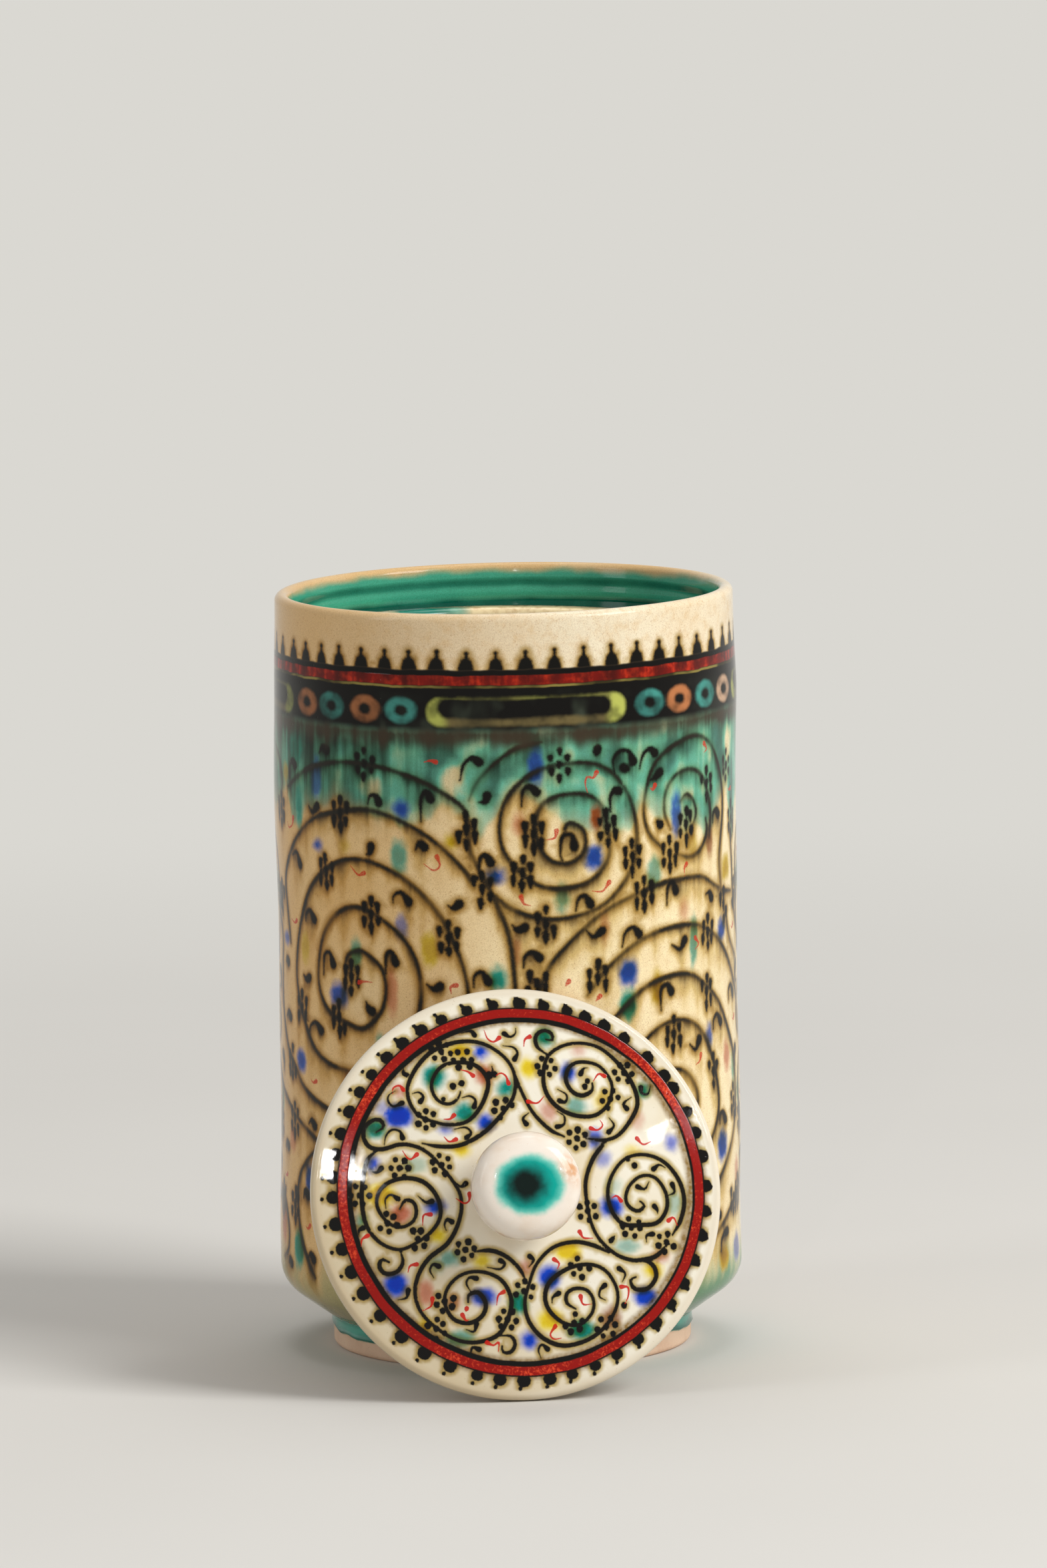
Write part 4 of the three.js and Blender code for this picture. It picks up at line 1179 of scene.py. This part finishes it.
class Wire:  # a node's output, which adds and multiplies like a number
    def __init__(self, socket):
        self.socket = socket
        self.tree = socket.id_data

    def __add__(self, other):
        return calc("ADD", self, other)

    def __sub__(self, other):
        return calc("SUBTRACT", self, other)

    def __mul__(self, other):
        return calc("MULTIPLY", self, other)

    def __abs__(self):
        return calc("ABSOLUTE", self)

    def clamped(self):  # the sum just made, kept between 0 and 1
        self.socket.node.use_clamp = True
        return self


def feed(socket, value):
    if isinstance(value, Wire):
        value.tree.links.new(value.socket, socket)
    else:
        socket.default_value = value


def addNode(tree, kind, values=None, **settings):
    node = tree.nodes.new(kind)
    for name, value in settings.items():
        setattr(node, name, value)
    for socket, value in (values or {}).items():
        feed(node.inputs[socket], value)
    return node


def wires(node):
    return {socket.name: Wire(socket) for socket in node.outputs}


def calc(operation, a, b=0.0, c=0.0):
    return wires(addNode(a.tree, "ShaderNodeMath", {0: a, 1: b, 2: c}, operation=operation))["Value"]


def measureVector(operation, where, other=(0.0, 0.0, 0.0)):
    node = addNode(where.tree, "ShaderNodeVectorMath", {0: where, 1: other}, operation=operation)
    return wires(node)["Value"]


def split(where):
    return wires(addNode(where.tree, "ShaderNodeSeparateXYZ", {0: where}))


def paint(base, tint, amount, blend="MIX"):
    values = {0: amount, 6: base, 7: tint}
    return Wire(addNode(amount.tree, "ShaderNodeMix", values, data_type="RGBA", blend_type=blend).outputs[2])


def darken(base, tint, amount):
    return paint(base, tint, amount, "MULTIPLY")


def ramp(value, low, high, toLow=0.0, toHigh=1.0):
    values = {"Value": value, "From Min": low, "From Max": high, "To Min": toLow, "To Max": toHigh}
    return wires(addNode(value.tree, "ShaderNodeMapRange", values, interpolation_type="SMOOTHSTEP"))["Result"]


def noise(where, scale, detail=2.0, rough=0.5):
    values = {"Vector": where, "Scale": scale, "Detail": detail, "Roughness": rough}
    return Wire(addNode(where.tree, "ShaderNodeTexNoise", values).outputs["Fac"])


def centred(value, reach):  # noise 0-1 to plus and minus this much
    return calc("MULTIPLY_ADD", value, 2 * reach, -reach)


def newGroup(name, inputs, outputs):  # it takes a vector and these numbers, and puts out numbers
    tree = bpy.data.node_groups.new(name, "ShaderNodeTree")
    tree.interface.new_socket("Vector", in_out="INPUT", socket_type="NodeSocketVector")
    for label, value in inputs.items():
        socket = tree.interface.new_socket(label, in_out="INPUT", socket_type="NodeSocketFloat")
        socket.default_value = value
    for label in outputs:
        tree.interface.new_socket(label, in_out="OUTPUT", socket_type="NodeSocketFloat")
    return tree, wires(tree.nodes.new("NodeGroupInput")), tree.nodes.new("NodeGroupOutput").inputs


def useGroup(group, where, values):
    return wires(addNode(where.tree, "ShaderNodeGroup", {"Vector": where, **values}, node_tree=group))


def makeBrushEdge():  # turns millimetres from a stroke's edge into paint, with a soft uneven edge
    inputs = {"Distance": 0.0, "Wander": 0.1, "Inner": -0.2, "Outer": 0.2, "Scale": 1200.0}
    tree, given, out = newGroup("brush edge", inputs, ["Mask"])
    rough = noise(given["Vector"], given["Scale"]) - 0.5
    distance = rough * given["Wander"] + given["Distance"]
    feed(out["Mask"], ramp(distance, given["Inner"], given["Outer"], 1.0, 0.0))
    return tree


def makeGlazeSkin():  # faint waves, pinholes and dust in a fired glaze
    inputs = {"Waves": 0.2, "Pits": 0.2, "Speckle Size": 2600.0, "Speckle Amount": 0.68}
    tree, given, out = newGroup("glaze skin", inputs, ["Height", "Speckle", "Roughness", "Grain"])
    where = given["Vector"]
    fine = noise(where, 620.0)
    waves = noise(where, 55.0) * given["Waves"] + fine * (given["Waves"] * 0.07)
    pits = wires(addNode(tree, "ShaderNodeTexVoronoi", {"Vector": where, "Scale": 420.0}))["Distance"]
    edge = noise(where, 150.0) * -0.12 + (given["Speckle Amount"] + 0.06)
    feed(out["Height"], ramp(pits, 0.05, 0.16, -1.0, 0.0) * given["Pits"] + waves)
    feed(out["Speckle"], ramp(noise(where, given["Speckle Size"], 1.0), edge, edge + 0.07))
    feed(out["Roughness"], ramp(fine, 0.35, 0.75))
    feed(out["Grain"], ramp(noise(where, 3300.0, 2.0, 0.6), 0.36, 0.68))
    return tree


def makeGlazeRun():  # streaks where the glaze ran down, stretched along the height
    tree, given, out = newGroup("glaze run", {"Stretch": 0.1}, ["Fine", "Wide"])
    at = split(given["Vector"])
    squeezed = addNode(tree, "ShaderNodeCombineXYZ", {0: at["X"], 1: at["Y"], 2: at["Z"] * given["Stretch"]})
    for name, scale in (("Fine", 620.0), ("Wide", 190.0)):
        feed(out[name], noise(wires(squeezed)["Vector"], scale, 1.0))
    return tree


brushEdge = makeBrushEdge()
glazeSkin = makeGlazeSkin()
glazeRun = makeGlazeRun()


def edgeMask(where, distance, inner, outer, wander, scale=1200.0):
    values = {"Distance": distance, "Wander": wander, "Inner": inner, "Outer": outer, "Scale": scale}
    return useGroup(brushEdge, where, values)["Mask"]


def newMaterial(name, tints):
    material = bpy.data.materials.new(name)
    material.use_nodes = True
    tree = material.node_tree
    tree.nodes.clear()
    shader = tree.nodes.new("ShaderNodeBsdfPrincipled")
    feed(tree.nodes.new("ShaderNodeOutputMaterial").inputs[0], Wire(shader.outputs[0]))

    def field(label, output="Fac"):  # a value that the mesh keeps at its points
        return wires(addNode(tree, "ShaderNodeAttribute", attribute_name=label))[output]

    def tint(label):
        return srgb(*tints[label])

    return material, shader, wires(tree.nodes.new("ShaderNodeTexCoord"))["Object"], field, tint


def setFinish(shader, f, colour, rough, height):
    feed(shader.inputs["Base Color"], colour)
    feed(shader.inputs["Roughness"], rough)
    shader.inputs["IOR"].default_value = f["ior"]
    shader.inputs["Specular IOR Level"].default_value = f["gloss"]
    values = {"Height": height, "Strength": f["relief"], "Distance": 0.25 * mm}
    feed(shader.inputs["Normal"], Wire(addNode(height.tree, "ShaderNodeBump", values).outputs[0]))


# the finishes

jarFinish = {
    "tan": (224, 182, 118), "cream": (250, 232, 188), "lip": (217, 180, 126), "lipPale": (242, 230, 202),
    "speck": (168, 108, 52), "grain": (150, 120, 84), "clay": (206, 172, 138),
    "wash": (98, 192, 166), "washDeep": (0, 98, 88), "footGlaze": (100, 150, 116),
    "stain": (74, 60, 42), "olive": (210, 188, 118), "shade": (128, 128, 108), "halo": (188, 166, 96),
    "line": (30, 26, 17), "dot": (10, 8, 4), "fleck": (190, 42, 20),
    "red": (122, 16, 5), "redPale": (204, 52, 22), "thread": (150, 134, 66),
    "band": (8, 6, 4), "bandThin": (62, 50, 36), "smoke": (66, 74, 60),
    "inside": (70, 168, 136), "insideDeep": (0, 86, 68),
    "roughness": 0.07, "ior": 1.4, "gloss": 0.25, "relief": 0.35,
}


def makeJarFinish(f):
    material, shader, where, field, tint = newMaterial("painted_glaze_on_buff_clay", f)
    runs = useGroup(glazeRun, where, {"Stretch": 0.1})
    skin = useGroup(glazeSkin, where,
                    {"Waves": 0.25, "Pits": 0.3, "Speckle Size": 2300.0, "Speckle Amount": 0.64})
    patch = noise(where, 38.0, 3.0)
    height, past = field("height"), field("past")
    side, smear, tone = field("side"), field("smear"), field("tone")

    # the buff ground: tan at the lip, and tan on the left and behind, partly from thinner glaze and partly as
    # painted shade on the sides away from the light
    ground = paint(tint("tan"), tint("cream"), (side + centred(patch, 0.5)).clamped())
    lipTint = paint(tint("lip"), tint("lipPale"), (side * 0.85 + centred(patch, 0.35)).clamped())
    lipTone = ramp(height + centred(patch, 3.0), 184.0, 188.0)
    ground = paint(ground, lipTint, lipTone)
    mottle = ramp(noise(where, 300.0, 5.0, 0.68), 0.44, 0.7, 0.0, 0.42)
    ground = paint(ground, tint("lip"), mottle * ramp(lipTone, 0.0, 1.0, 0.55, 1.0))
    ground = paint(ground, tint("speck"), skin["Speckle"] * 0.32)

    # turquoise that ran down from the border, and a pool of it round the chamfer
    drip = field("drip") + centred(runs["Wide"], 4.0)
    drip += centred(noise(where, 105.0, 2.0), 3.2)
    washed = ramp(drip, -1.2, 1.8, 0.0, 0.5) + ramp(drip, -2.0, 7.0, 0.0, 0.5)
    washed *= ramp(height, 180.0, 176.0)
    cloud = noise(where, 85.0, 2.0)
    depth = centred(runs["Fine"], 0.1) + (centred(runs["Wide"], 0.36) + centred(cloud, 0.5))
    # the wash is a little deeper on the left and behind, as painted shade
    depth = (tone + ramp(side, 0.0, 0.6, 0.14, 0.0) + depth).clamped()
    washTint = paint(tint("wash"), tint("washDeep"), ramp(depth, 0.3, 0.95))
    washAmount = washed * ramp(depth, 0.02, 0.5, 0.12, 0.95)
    colour = paint(ground, washTint, washAmount)
    low = height + centred(runs["Wide"], 9.0)
    pool = ramp(low, 31.0, 17.0) * ramp(side, 0.0, 0.7, 0.45, 0.95)
    colour = paint(colour, tint("footGlaze"), pool)
    colour = paint(colour, tint("washDeep"), ramp(low, 16.0, 3.0) * 0.4)

    # spots of colour, softened by the glaze
    blob = field("blob") + centred(noise(where, 300.0, 2.0), 1.3)
    blob += centred(runs["Wide"], 1.0)
    amount = ramp(blob, 1.5, -1.4) * (field("blobTint", "Alpha") * 1.3).clamped()
    blobCore = ramp(blob, -0.2, -2.4) * (field("blobTint", "Alpha") * 0.55)
    blobColour = darken(field("blobTint", "Color"), field("blobTint", "Color"), blobCore)
    colour = paint(colour, blobColour, amount)

    # ink, with the brown that bled out of it and ran down
    line, dot = field("line"), field("dot")
    near = calc("MINIMUM", line, dot)
    halo = ramp(near + centred(cloud, 1.0), 1.9, -0.3) * ramp(washed, 0.0, 1.0, 0.8, 0.4)
    colour = darken(colour, tint("halo"), halo)
    carried = smear * ramp(runs["Fine"] + cloud * 2.0, 1.1, 1.9, 0.55, 1.0)
    olive = ramp(carried, 0.02, 0.45) * ramp(washed, 0.0, 1.0, 0.75, 0.3)
    colour = darken(colour, tint("olive"), olive)
    colour = darken(colour, tint("stain"), ramp(carried, 0.3, 0.95) * 0.9)
    # the left of the wash is darker in streaks, partly old brown runs and partly painted shade away from the
    # light
    dull = ramp(runs["Fine"] + runs["Wide"], 0.8, 1.25, 0.35, 1.0) * ramp(side, 0.0, 0.75, 0.85, 0.0)
    colour = darken(colour, tint("shade"), dull * ramp(height, 138.0, 156.0) * ramp(height, 170.0, 167.0))
    colour = darken(colour, tint("grain"), skin["Grain"] * 0.2)
    grainy = centred(skin["Grain"], 0.5) * 0.2
    line += grainy
    faded = ramp(runs["Wide"] + cloud, 0.72, 1.1, 0.55, 1.0)
    lineMask = edgeMask(where, line, -0.55, 0.55, 0.5) * faded
    colour = paint(colour, tint("line"), lineMask)
    colour = paint(colour, tint("dot"), edgeMask(where, dot + grainy, -0.45, 0.45, 0.4))
    red = edgeMask(where, field("fleck"), -0.2, 0.14, 0.3)
    colour = paint(colour, tint("fleck"), red * ramp(skin["Grain"], 0.0, 1.0, 0.95, 0.62))

    # the border
    level = height + centred(noise(where, 130.0, 3.0), 0.55)
    lower = level + centred(runs["Wide"], 2.2)
    thin = ramp(lower + centred(cloud, 1.6), 163.6, 168.6) * ramp(level, 186.0, 185.4)
    colour = paint(colour, tint("bandThin"), thin * ramp(runs["Wide"], 0.3, 0.7, 0.72, 0.92))
    black = ramp(level, 168.9, 171.1) * ramp(level, 185.9, 185.3)
    haze = ramp(runs["Wide"], 0.5, 0.75, 0.15, 0.8) * ramp(cloud, 0.48, 0.68)
    haze *= ramp(level, 181.0, 176.0)
    colour = paint(colour, paint(tint("band"), tint("smoke"), haze), black)
    redBand = ramp(level, 181.5, 181.9) * ramp(level, 184.4, 184.0)
    redTint = paint(tint("red"), tint("redPale"),
                    ramp(noise(where, 420.0, 3.0) + centred(runs["Fine"], 0.3), 0.4, 0.85))
    redTint = paint(redTint, tint("band"), smear * 0.6)
    colour = paint(colour, redTint, redBand * ramp(runs["Wide"] + cloud, 0.75, 1.05, 0.6, 1.0))
    thread = ramp(level, 180.8, 181.15) * ramp(level, 181.75, 181.4)
    colour = paint(colour, tint("thread"), thread * ramp(cloud, 0.4, 0.6, 0.1, 0.8))
    panelTint = field("panelTint", "Color")
    panel = field("panel") + centred(noise(where, 420.0, 2.0), 0.35)
    brushed = noise(where, 190.0, 2.0)
    panelMask = ramp(panel, 0.55, -0.95) * ramp(brushed, 0.34, 0.6, 0.42, 0.95)
    # the windows are fainter on the left and behind, as painted shade
    panelMask *= ramp(side, 0.0, 0.7, 0.62, 1.0)
    panelMask *= ramp(noise(where, 75.0, 2.0), 0.36, 0.58, 0.5, 1.0)
    colour = paint(colour, panelTint, panelMask)

    # turquoise inside, from a little way over the lip
    over = past + (centred(noise(where, 90.0, 3.0), 1.6) + (side * 1.2 - 0.9))
    within = ramp(over, 0.9, 3.4)
    # the glaze is thick and dark above the seat and in the ring over it, and the inside turns darker further
    # down below the seat
    wavy = height + centred(noise(where, 45.0, 2.0), 0.9)
    above = ramp(wavy, 191.6, 189.9)
    ringed = ramp(abs(wavy - 194.9), 1.7, 0.2) * (side * 0.4 + 0.55)
    thick = calc("MAXIMUM", calc("MAXIMUM", above, ringed), ramp(height, 186.0, 165.0))
    insideTint = paint(tint("inside"), tint("insideDeep"),
                       (thick + centred(noise(where, 120.0, 3.0), 0.25)).clamped())
    insideTint = darken(insideTint, tint("grain"), skin["Grain"] * 0.25)
    colour = paint(colour, insideTint, within)
    clay = ramp(past, -200.0, -250.0)
    colour = paint(colour, tint("clay"), clay)
    rough = skin["Roughness"] * 0.07 + f["roughness"] + clay * 0.6
    thickPaint = (red + redBand).clamped() * 0.35
    setFinish(shader, f, colour, rough, runs["Wide"] * 0.12 + (thickPaint + skin["Height"]))
    return material


footFinish = {
    "clay": (226, 194, 166), "clayDark": (192, 146, 116),
    "glaze": (66, 160, 140), "glazeDeep": (10, 96, 82), "edge": (150, 170, 140),
    "ior": 1.5, "gloss": 0.5, "relief": 0.5,
}


def makeFootFinish(f):
    material, shader, where, field, tint = newMaterial("bare_clay_with_a_glaze_line", f)
    grit = noise(where, 1500.0, 4.0, 0.65)
    patch = noise(where, 90.0, 3.0)
    colour = paint(tint("clay"), tint("clayDark"), ramp(patch, 0.4, 0.8) * 0.6)
    colour = paint(colour, tint("clayDark"), ramp(grit, 0.6, 0.7) * 0.5)
    above = field("glazed") + centred(noise(where, 500.0, 2.0), 0.25)
    glazed = ramp(above, -0.1, 0.25)
    glaze = paint(tint("glazeDeep"), tint("glaze"), ramp(above + centred(patch, 2.0), 0.2, 2.6))
    glaze = paint(glaze, tint("edge"), ramp(above, 0.5, 0.1) * 0.6)
    colour = paint(colour, glaze, glazed)
    rough = ramp(glazed, 0.2, 0.9, 0.85, 0.14)
    setFinish(shader, f, colour, rough, grit * ramp(glazed, 0.0, 1.0, 1.0, 0.05))
    return material


seatFinish = {
    "glaze": (16, 120, 100), "pale": (110, 176, 150), "cream": (240, 216, 168), "brown": (176, 126, 68),
    "roughness": 0.12, "ior": 1.5, "gloss": 0.5, "relief": 0.3,
}


def makeSeatFinish(f):
    material, shader, where, field, tint = newMaterial("turquoise_glaze_over_the_seat", f)
    skin = useGroup(glazeSkin, where,
                    {"Waves": 0.4, "Pits": 0.3, "Speckle Size": 2000.0, "Speckle Amount": 0.72})
    patch = noise(where, 120.0, 3.0)
    pooled = paint(tint("glaze"), tint("pale"), ramp(patch, 0.45, 0.75))
    # the glaze is thin over the nose and the buff clay shows through
    worn = paint(tint("cream"), tint("brown"), ramp(noise(where, 300.0, 4.0, 0.65), 0.42, 0.7, 0.0, 0.6))
    level = split(where)["Z"]
    thin = ramp(level + centred(patch, 0.8 * mm), 183.6 * mm, 185.2 * mm)
    thin *= ramp(noise(where, 34.0, 2.0), 0.64, 0.56)
    colour = paint(pooled, worn, thin)
    setFinish(shader, f, colour, skin["Roughness"] * 0.08 + f["roughness"], skin["Height"])
    return material


lidFinish = {
    # tone is the colour of the painted shade towards the lower left
    "cream": (239, 232, 214), "warm": (226, 210, 176), "edge": (229, 218, 196), "tone": (228, 218, 200),
    "clay": (222, 190, 164), "speck": (170, 140, 100), "brown": (150, 122, 66),
    "line": (16, 11, 4), "halo": (192, 170, 88), "dot": (8, 6, 4), "fleck": (196, 26, 10),
    "red": (150, 12, 4), "redPale": (226, 74, 40), "band": (8, 6, 3),
    "roughness": 0.025, "ior": 1.42, "gloss": 0.28, "relief": 0.35,
}


def makeLidFinish(f):
    material, shader, where, field, tint = newMaterial("painted_cream_glaze", f)
    skin = useGroup(glazeSkin, where,
                    {"Waves": 0.22, "Pits": 0.25, "Speckle Size": 1900.0, "Speckle Amount": 0.72})
    patch = noise(where, 55.0, 3.0)
    rim, ring = field("rim"), field("ring")
    colour = paint(tint("cream"), tint("warm"), ramp(patch, 0.4, 0.75) * 0.7)
    colour = paint(colour, tint("edge"), ramp(rim, 50.2, 52.2))
    # painted shade, darker towards the lower left
    shadeSlope = measureVector("DOT_PRODUCT", where, (1.0, 0.0, 0.8)) + centred(patch, 0.02)
    colour = darken(colour, tint("tone"), ramp(shadeSlope, 0.04, -0.015))
    colour = paint(colour, tint("speck"), skin["Speckle"] * 0.3)

    blob = field("blob") + centred(noise(where, 300.0, 3.0), 0.9)
    amount = ramp(blob, 1.5, -1.3) * (field("blobTint", "Alpha") * 1.3).clamped()
    core = ramp(blob + centred(skin["Grain"], 0.3), -0.2, -2.2) * field("blobTint", "Alpha")
    # thicker paint is its own colour over again
    spotTint = darken(field("blobTint", "Color"), field("blobTint", "Color"), core * 0.6)
    colour = paint(colour, spotTint, amount)

    # the brown that bled out beside the ring
    hand = centred(noise(where, 110.0, 2.0), 0.35)
    wide = ring + hand
    glow = ramp(wide, 42.2, 44.0) * ramp(wide, 49.4, 47.6)
    glow *= ramp(noise(where, 900.0, 2.0), 0.3, 0.7, 0.7, 1.0)
    colour = darken(colour, tint("brown"), glow)

    line, dot = field("line"), field("dot")
    near = calc("MINIMUM", line, dot)
    halo = ramp(near + centred(noise(where, 350.0, 2.0), 0.3), 1.35, 0.0) * 0.84
    halo *= ramp(rim, 51.4, 50.5)
    colour = darken(colour, tint("halo"), halo)
    colour = paint(colour, tint("line"), edgeMask(where, line, -0.24, 0.16, 0.2, 1600.0))
    colour = paint(colour, tint("dot"), edgeMask(where, dot, -0.22, 0.16, 0.2, 1600.0))

    # the red ring between its black lines; the inner one is thin and brown on the right
    across = split(where)["X"]
    weak = ramp(across, 14 * mm, 36 * mm) * (patch * 0.6 + 0.45)
    inner = ramp(wide - weak, 43.65, 44.05)
    black = inner * ramp(wide, 48.1, 47.7)
    colour = paint(colour, tint("band"), black)
    red = ramp(wide, 45.1, 45.45) * ramp(wide, 47.65, 47.35)
    grain = noise(where, 1300.0, 3.0, 0.6)
    redTint = paint(tint("red"), tint("redPale"), ramp(grain + centred(patch, 0.3), 0.5, 0.8))
    colour = paint(colour, redTint, red)
    fleck = edgeMask(where, field("fleck"), -0.12, 0.1, 0.14, 1600.0)
    colour = paint(colour, tint("fleck"), fleck * 0.96)

    # bare clay on the rim it stands on, underneath
    bare = ramp(rim + centred(patch, 0.6), 55.4, 56.0) * ramp(rim, 67.0, 66.0)
    grit = noise(where, 1500.0, 4.0, 0.65)
    clay = paint(tint("clay"), tint("speck"), ramp(grit, 0.55, 0.72) * 0.5)
    colour = paint(colour, clay, bare)
    rough = skin["Roughness"] * 0.03 + f["roughness"] + red * 0.08 + bare * 0.7
    thickPaint = (red + fleck).clamped() * (grain * 0.5 + 0.5) + core * grain
    setFinish(shader, f, colour, rough, thickPaint * 0.5 + skin["Height"])
    return material


knobFinish = {
    "cream": (240, 229, 215), "warm": (226, 202, 176), "rust": (214, 150, 92),
    "spot": (0, 162, 148), "spotEdge": (86, 200, 182), "core": (0, 20, 16),
    "roughness": 0.04, "ior": 1.42, "gloss": 0.28, "relief": 0.3,
}


def makeKnobFinish(f):
    material, shader, where, field, tint = newMaterial("cream_knob_glaze", f)
    skin = useGroup(glazeSkin, where,
                    {"Waves": 0.2, "Pits": 0.25, "Speckle Size": 1900.0, "Speckle Amount": 0.74})
    patch = noise(where, 120.0, 3.0)
    colour = paint(tint("cream"), tint("warm"), ramp(patch, 0.45, 0.8) * 0.6)
    level = field("level")
    colour = paint(colour, tint("warm"), ramp(level, 9.6, 5.4) * 0.7)
    worn = ramp(abs(level - 11.6), 2.2, 0.4) * ramp(noise(where, 160.0, 3.0), 0.55, 0.72)
    bare = field("bare") * ramp(noise(where, 500.0, 3.0), 0.35, 0.55, 0.2, 0.9)
    worn = calc("MAXIMUM", worn * 0.55, bare)
    colour = paint(colour, tint("rust"), worn)
    colour = paint(colour, tint("rust"), skin["Speckle"] * 0.3)
    spot = field("crown") + centred(noise(where, 260.0, 3.0, 0.55), 1.2)
    colour = paint(colour, tint("spotEdge"), ramp(spot, 10.3, 7.9) * 0.92)
    colour = paint(colour, tint("spot"), ramp(spot, 9.1, 6.4))
    core = field("pool") + centred(noise(where, 420.0, 3.0), 1.1)
    colour = paint(colour, tint("core"), ramp(core, 7.9, 2.5))
    setFinish(shader, f, colour, skin["Roughness"] * 0.05 + f["roughness"], skin["Height"])
    return material


dressing = [
    (jar, "jar_wall_painted", "jar", "jar_body", "painted_glaze", makeJarFinish(jarFinish)),
    (foot, "foot_ring_glazed", "jar", "foot_ring", "bare_clay", makeFootFinish(footFinish)),
    (seat, "seat_ring_glazed", "jar", "lid_seat_ring", "turquoise_glaze", makeSeatFinish(seatFinish)),
    (lid, "lid_plate_painted", "lid", "lid_plate", "cream_glaze", makeLidFinish(lidFinish)),
    (knob, "lid_knob_glazed", "lid", "lid_knob", "knob_glaze", makeKnobFinish(knobFinish)),
]
for piece, name, body, node, finish, material in dressing:
    piece.name = name
    piece.data.name = name
    piece.data.materials.clear()
    piece.data.materials.append(material)
    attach(piece, body)
    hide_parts(node)
print("finishes made")


# floor, backdrop and light

studio = {
    "floor": (214, 211, 205),
    "floorLow": (211, 208, 202),   # its darker patches
    "floorSize": 24.0, "floorRoughness": 0.9, "floorGloss": 0.2,
    "backdrop": (218, 216, 210),
    "clear": (0.42, 1.05),   # metres from the jar between which the floor turns into the backdrop
    "skyLight": 0.34,
    "aim": (0, -0.03, 0.08),
    # name, where it stands (degrees round from the front, degrees up, metres away), width, height, watts
    "lamps": [
        ("key", 62, 38, 2.6, 1.1, 1.3, 56.0),
        ("fill", -66, 24, 2.4, 0.6, 1.5, 8.0),
        ("top", 180, 72, 2.6, 1.4, 1.4, 16.0),
        ("rightSpark", 39.75, 25.9, 2.5, 0.03, 0.09, 0.8),
        ("leftSpark", -7.2, 24.5, 2.5, 0.027, 0.15, 1.5),
    ],
}


def makeFloor(s):
    bpy.ops.object.select_all(action="DESELECT")
    bpy.ops.mesh.primitive_grid_add(x_subdivisions=4, y_subdivisions=4, size=s["floorSize"],
                                    location=(0, 0, 0))
    floor = bpy.context.object
    floor.name = "floor"
    material, shader, where, _, tint = newMaterial("pale_floor", s)
    tree = material.node_tree
    patches = ramp(noise(where, 3.0, 3.0), 0.3, 0.7)
    feed(shader.inputs["Base Color"], paint(tint("floor"), tint("floorLow"), patches))
    shader.inputs["Roughness"].default_value = s["floorRoughness"]
    shader.inputs["Specular IOR Level"].default_value = s["floorGloss"]
    # far away it takes the backdrop's tone, so that no horizon shows
    far = ramp(measureVector("LENGTH", where), *s["clear"])
    glow = addNode(tree, "ShaderNodeEmission", {"Color": tint("backdrop"), "Strength": 1.0})
    ray = wires(tree.nodes.new("ShaderNodeLightPath"))
    seen = calc("MAXIMUM", ray["Is Camera Ray"], ray["Is Glossy Ray"])
    values = {0: far * seen, 1: Wire(shader.outputs[0]), 2: Wire(glow.outputs[0])}
    blend = addNode(tree, "ShaderNodeMixShader", values)
    feed(tree.nodes["Material Output"].inputs[0], Wire(blend.outputs[0]))
    floor.data.materials.append(material)


def makeSky(s):
    world = bpy.data.worlds.new("studio")
    bpy.context.scene.world = world
    world.use_nodes = True
    tree = world.node_tree
    tree.nodes.clear()
    ray = wires(tree.nodes.new("ShaderNodeLightPath"))
    seen = calc("MAXIMUM", ray["Is Camera Ray"], ray["Is Glossy Ray"])
    seen = calc("MAXIMUM", seen, ray["Is Transmission Ray"])
    soft = addNode(tree, "ShaderNodeBackground", {"Color": (1, 1, 1, 1), "Strength": s["skyLight"]})
    shown = addNode(tree, "ShaderNodeBackground", {"Color": srgb(*s["backdrop"]), "Strength": 1.0})
    values = {0: seen, 1: Wire(soft.outputs[0]), 2: Wire(shown.outputs[0])}
    both = addNode(tree, "ShaderNodeMixShader", values)
    feed(tree.nodes.new("ShaderNodeOutputWorld").inputs[0], Wire(both.outputs[0]))
    bpy.context.scene.view_settings.view_transform = "Standard"


def makeLamp(aim, name, turn, up, far, width, height, power):
    a, e = math.radians(turn), math.radians(up)
    place = aim + far * Vector((math.sin(a) * math.cos(e), -math.cos(a) * math.cos(e), math.sin(e)))
    data = bpy.data.lights.new(name, "AREA")
    data.shape = "RECTANGLE"
    data.size, data.size_y, data.energy = width, height, power
    lamp = bpy.data.objects.new(name, data)
    lamp.location = place
    lamp.rotation_euler = (aim - place).to_track_quat("-Z", "Y").to_euler()
    bpy.context.collection.objects.link(lamp)


makeFloor(studio)
makeSky(studio)
for lamp in studio["lamps"]:
    makeLamp(Vector(studio["aim"]), *lamp)
print("studio lit")
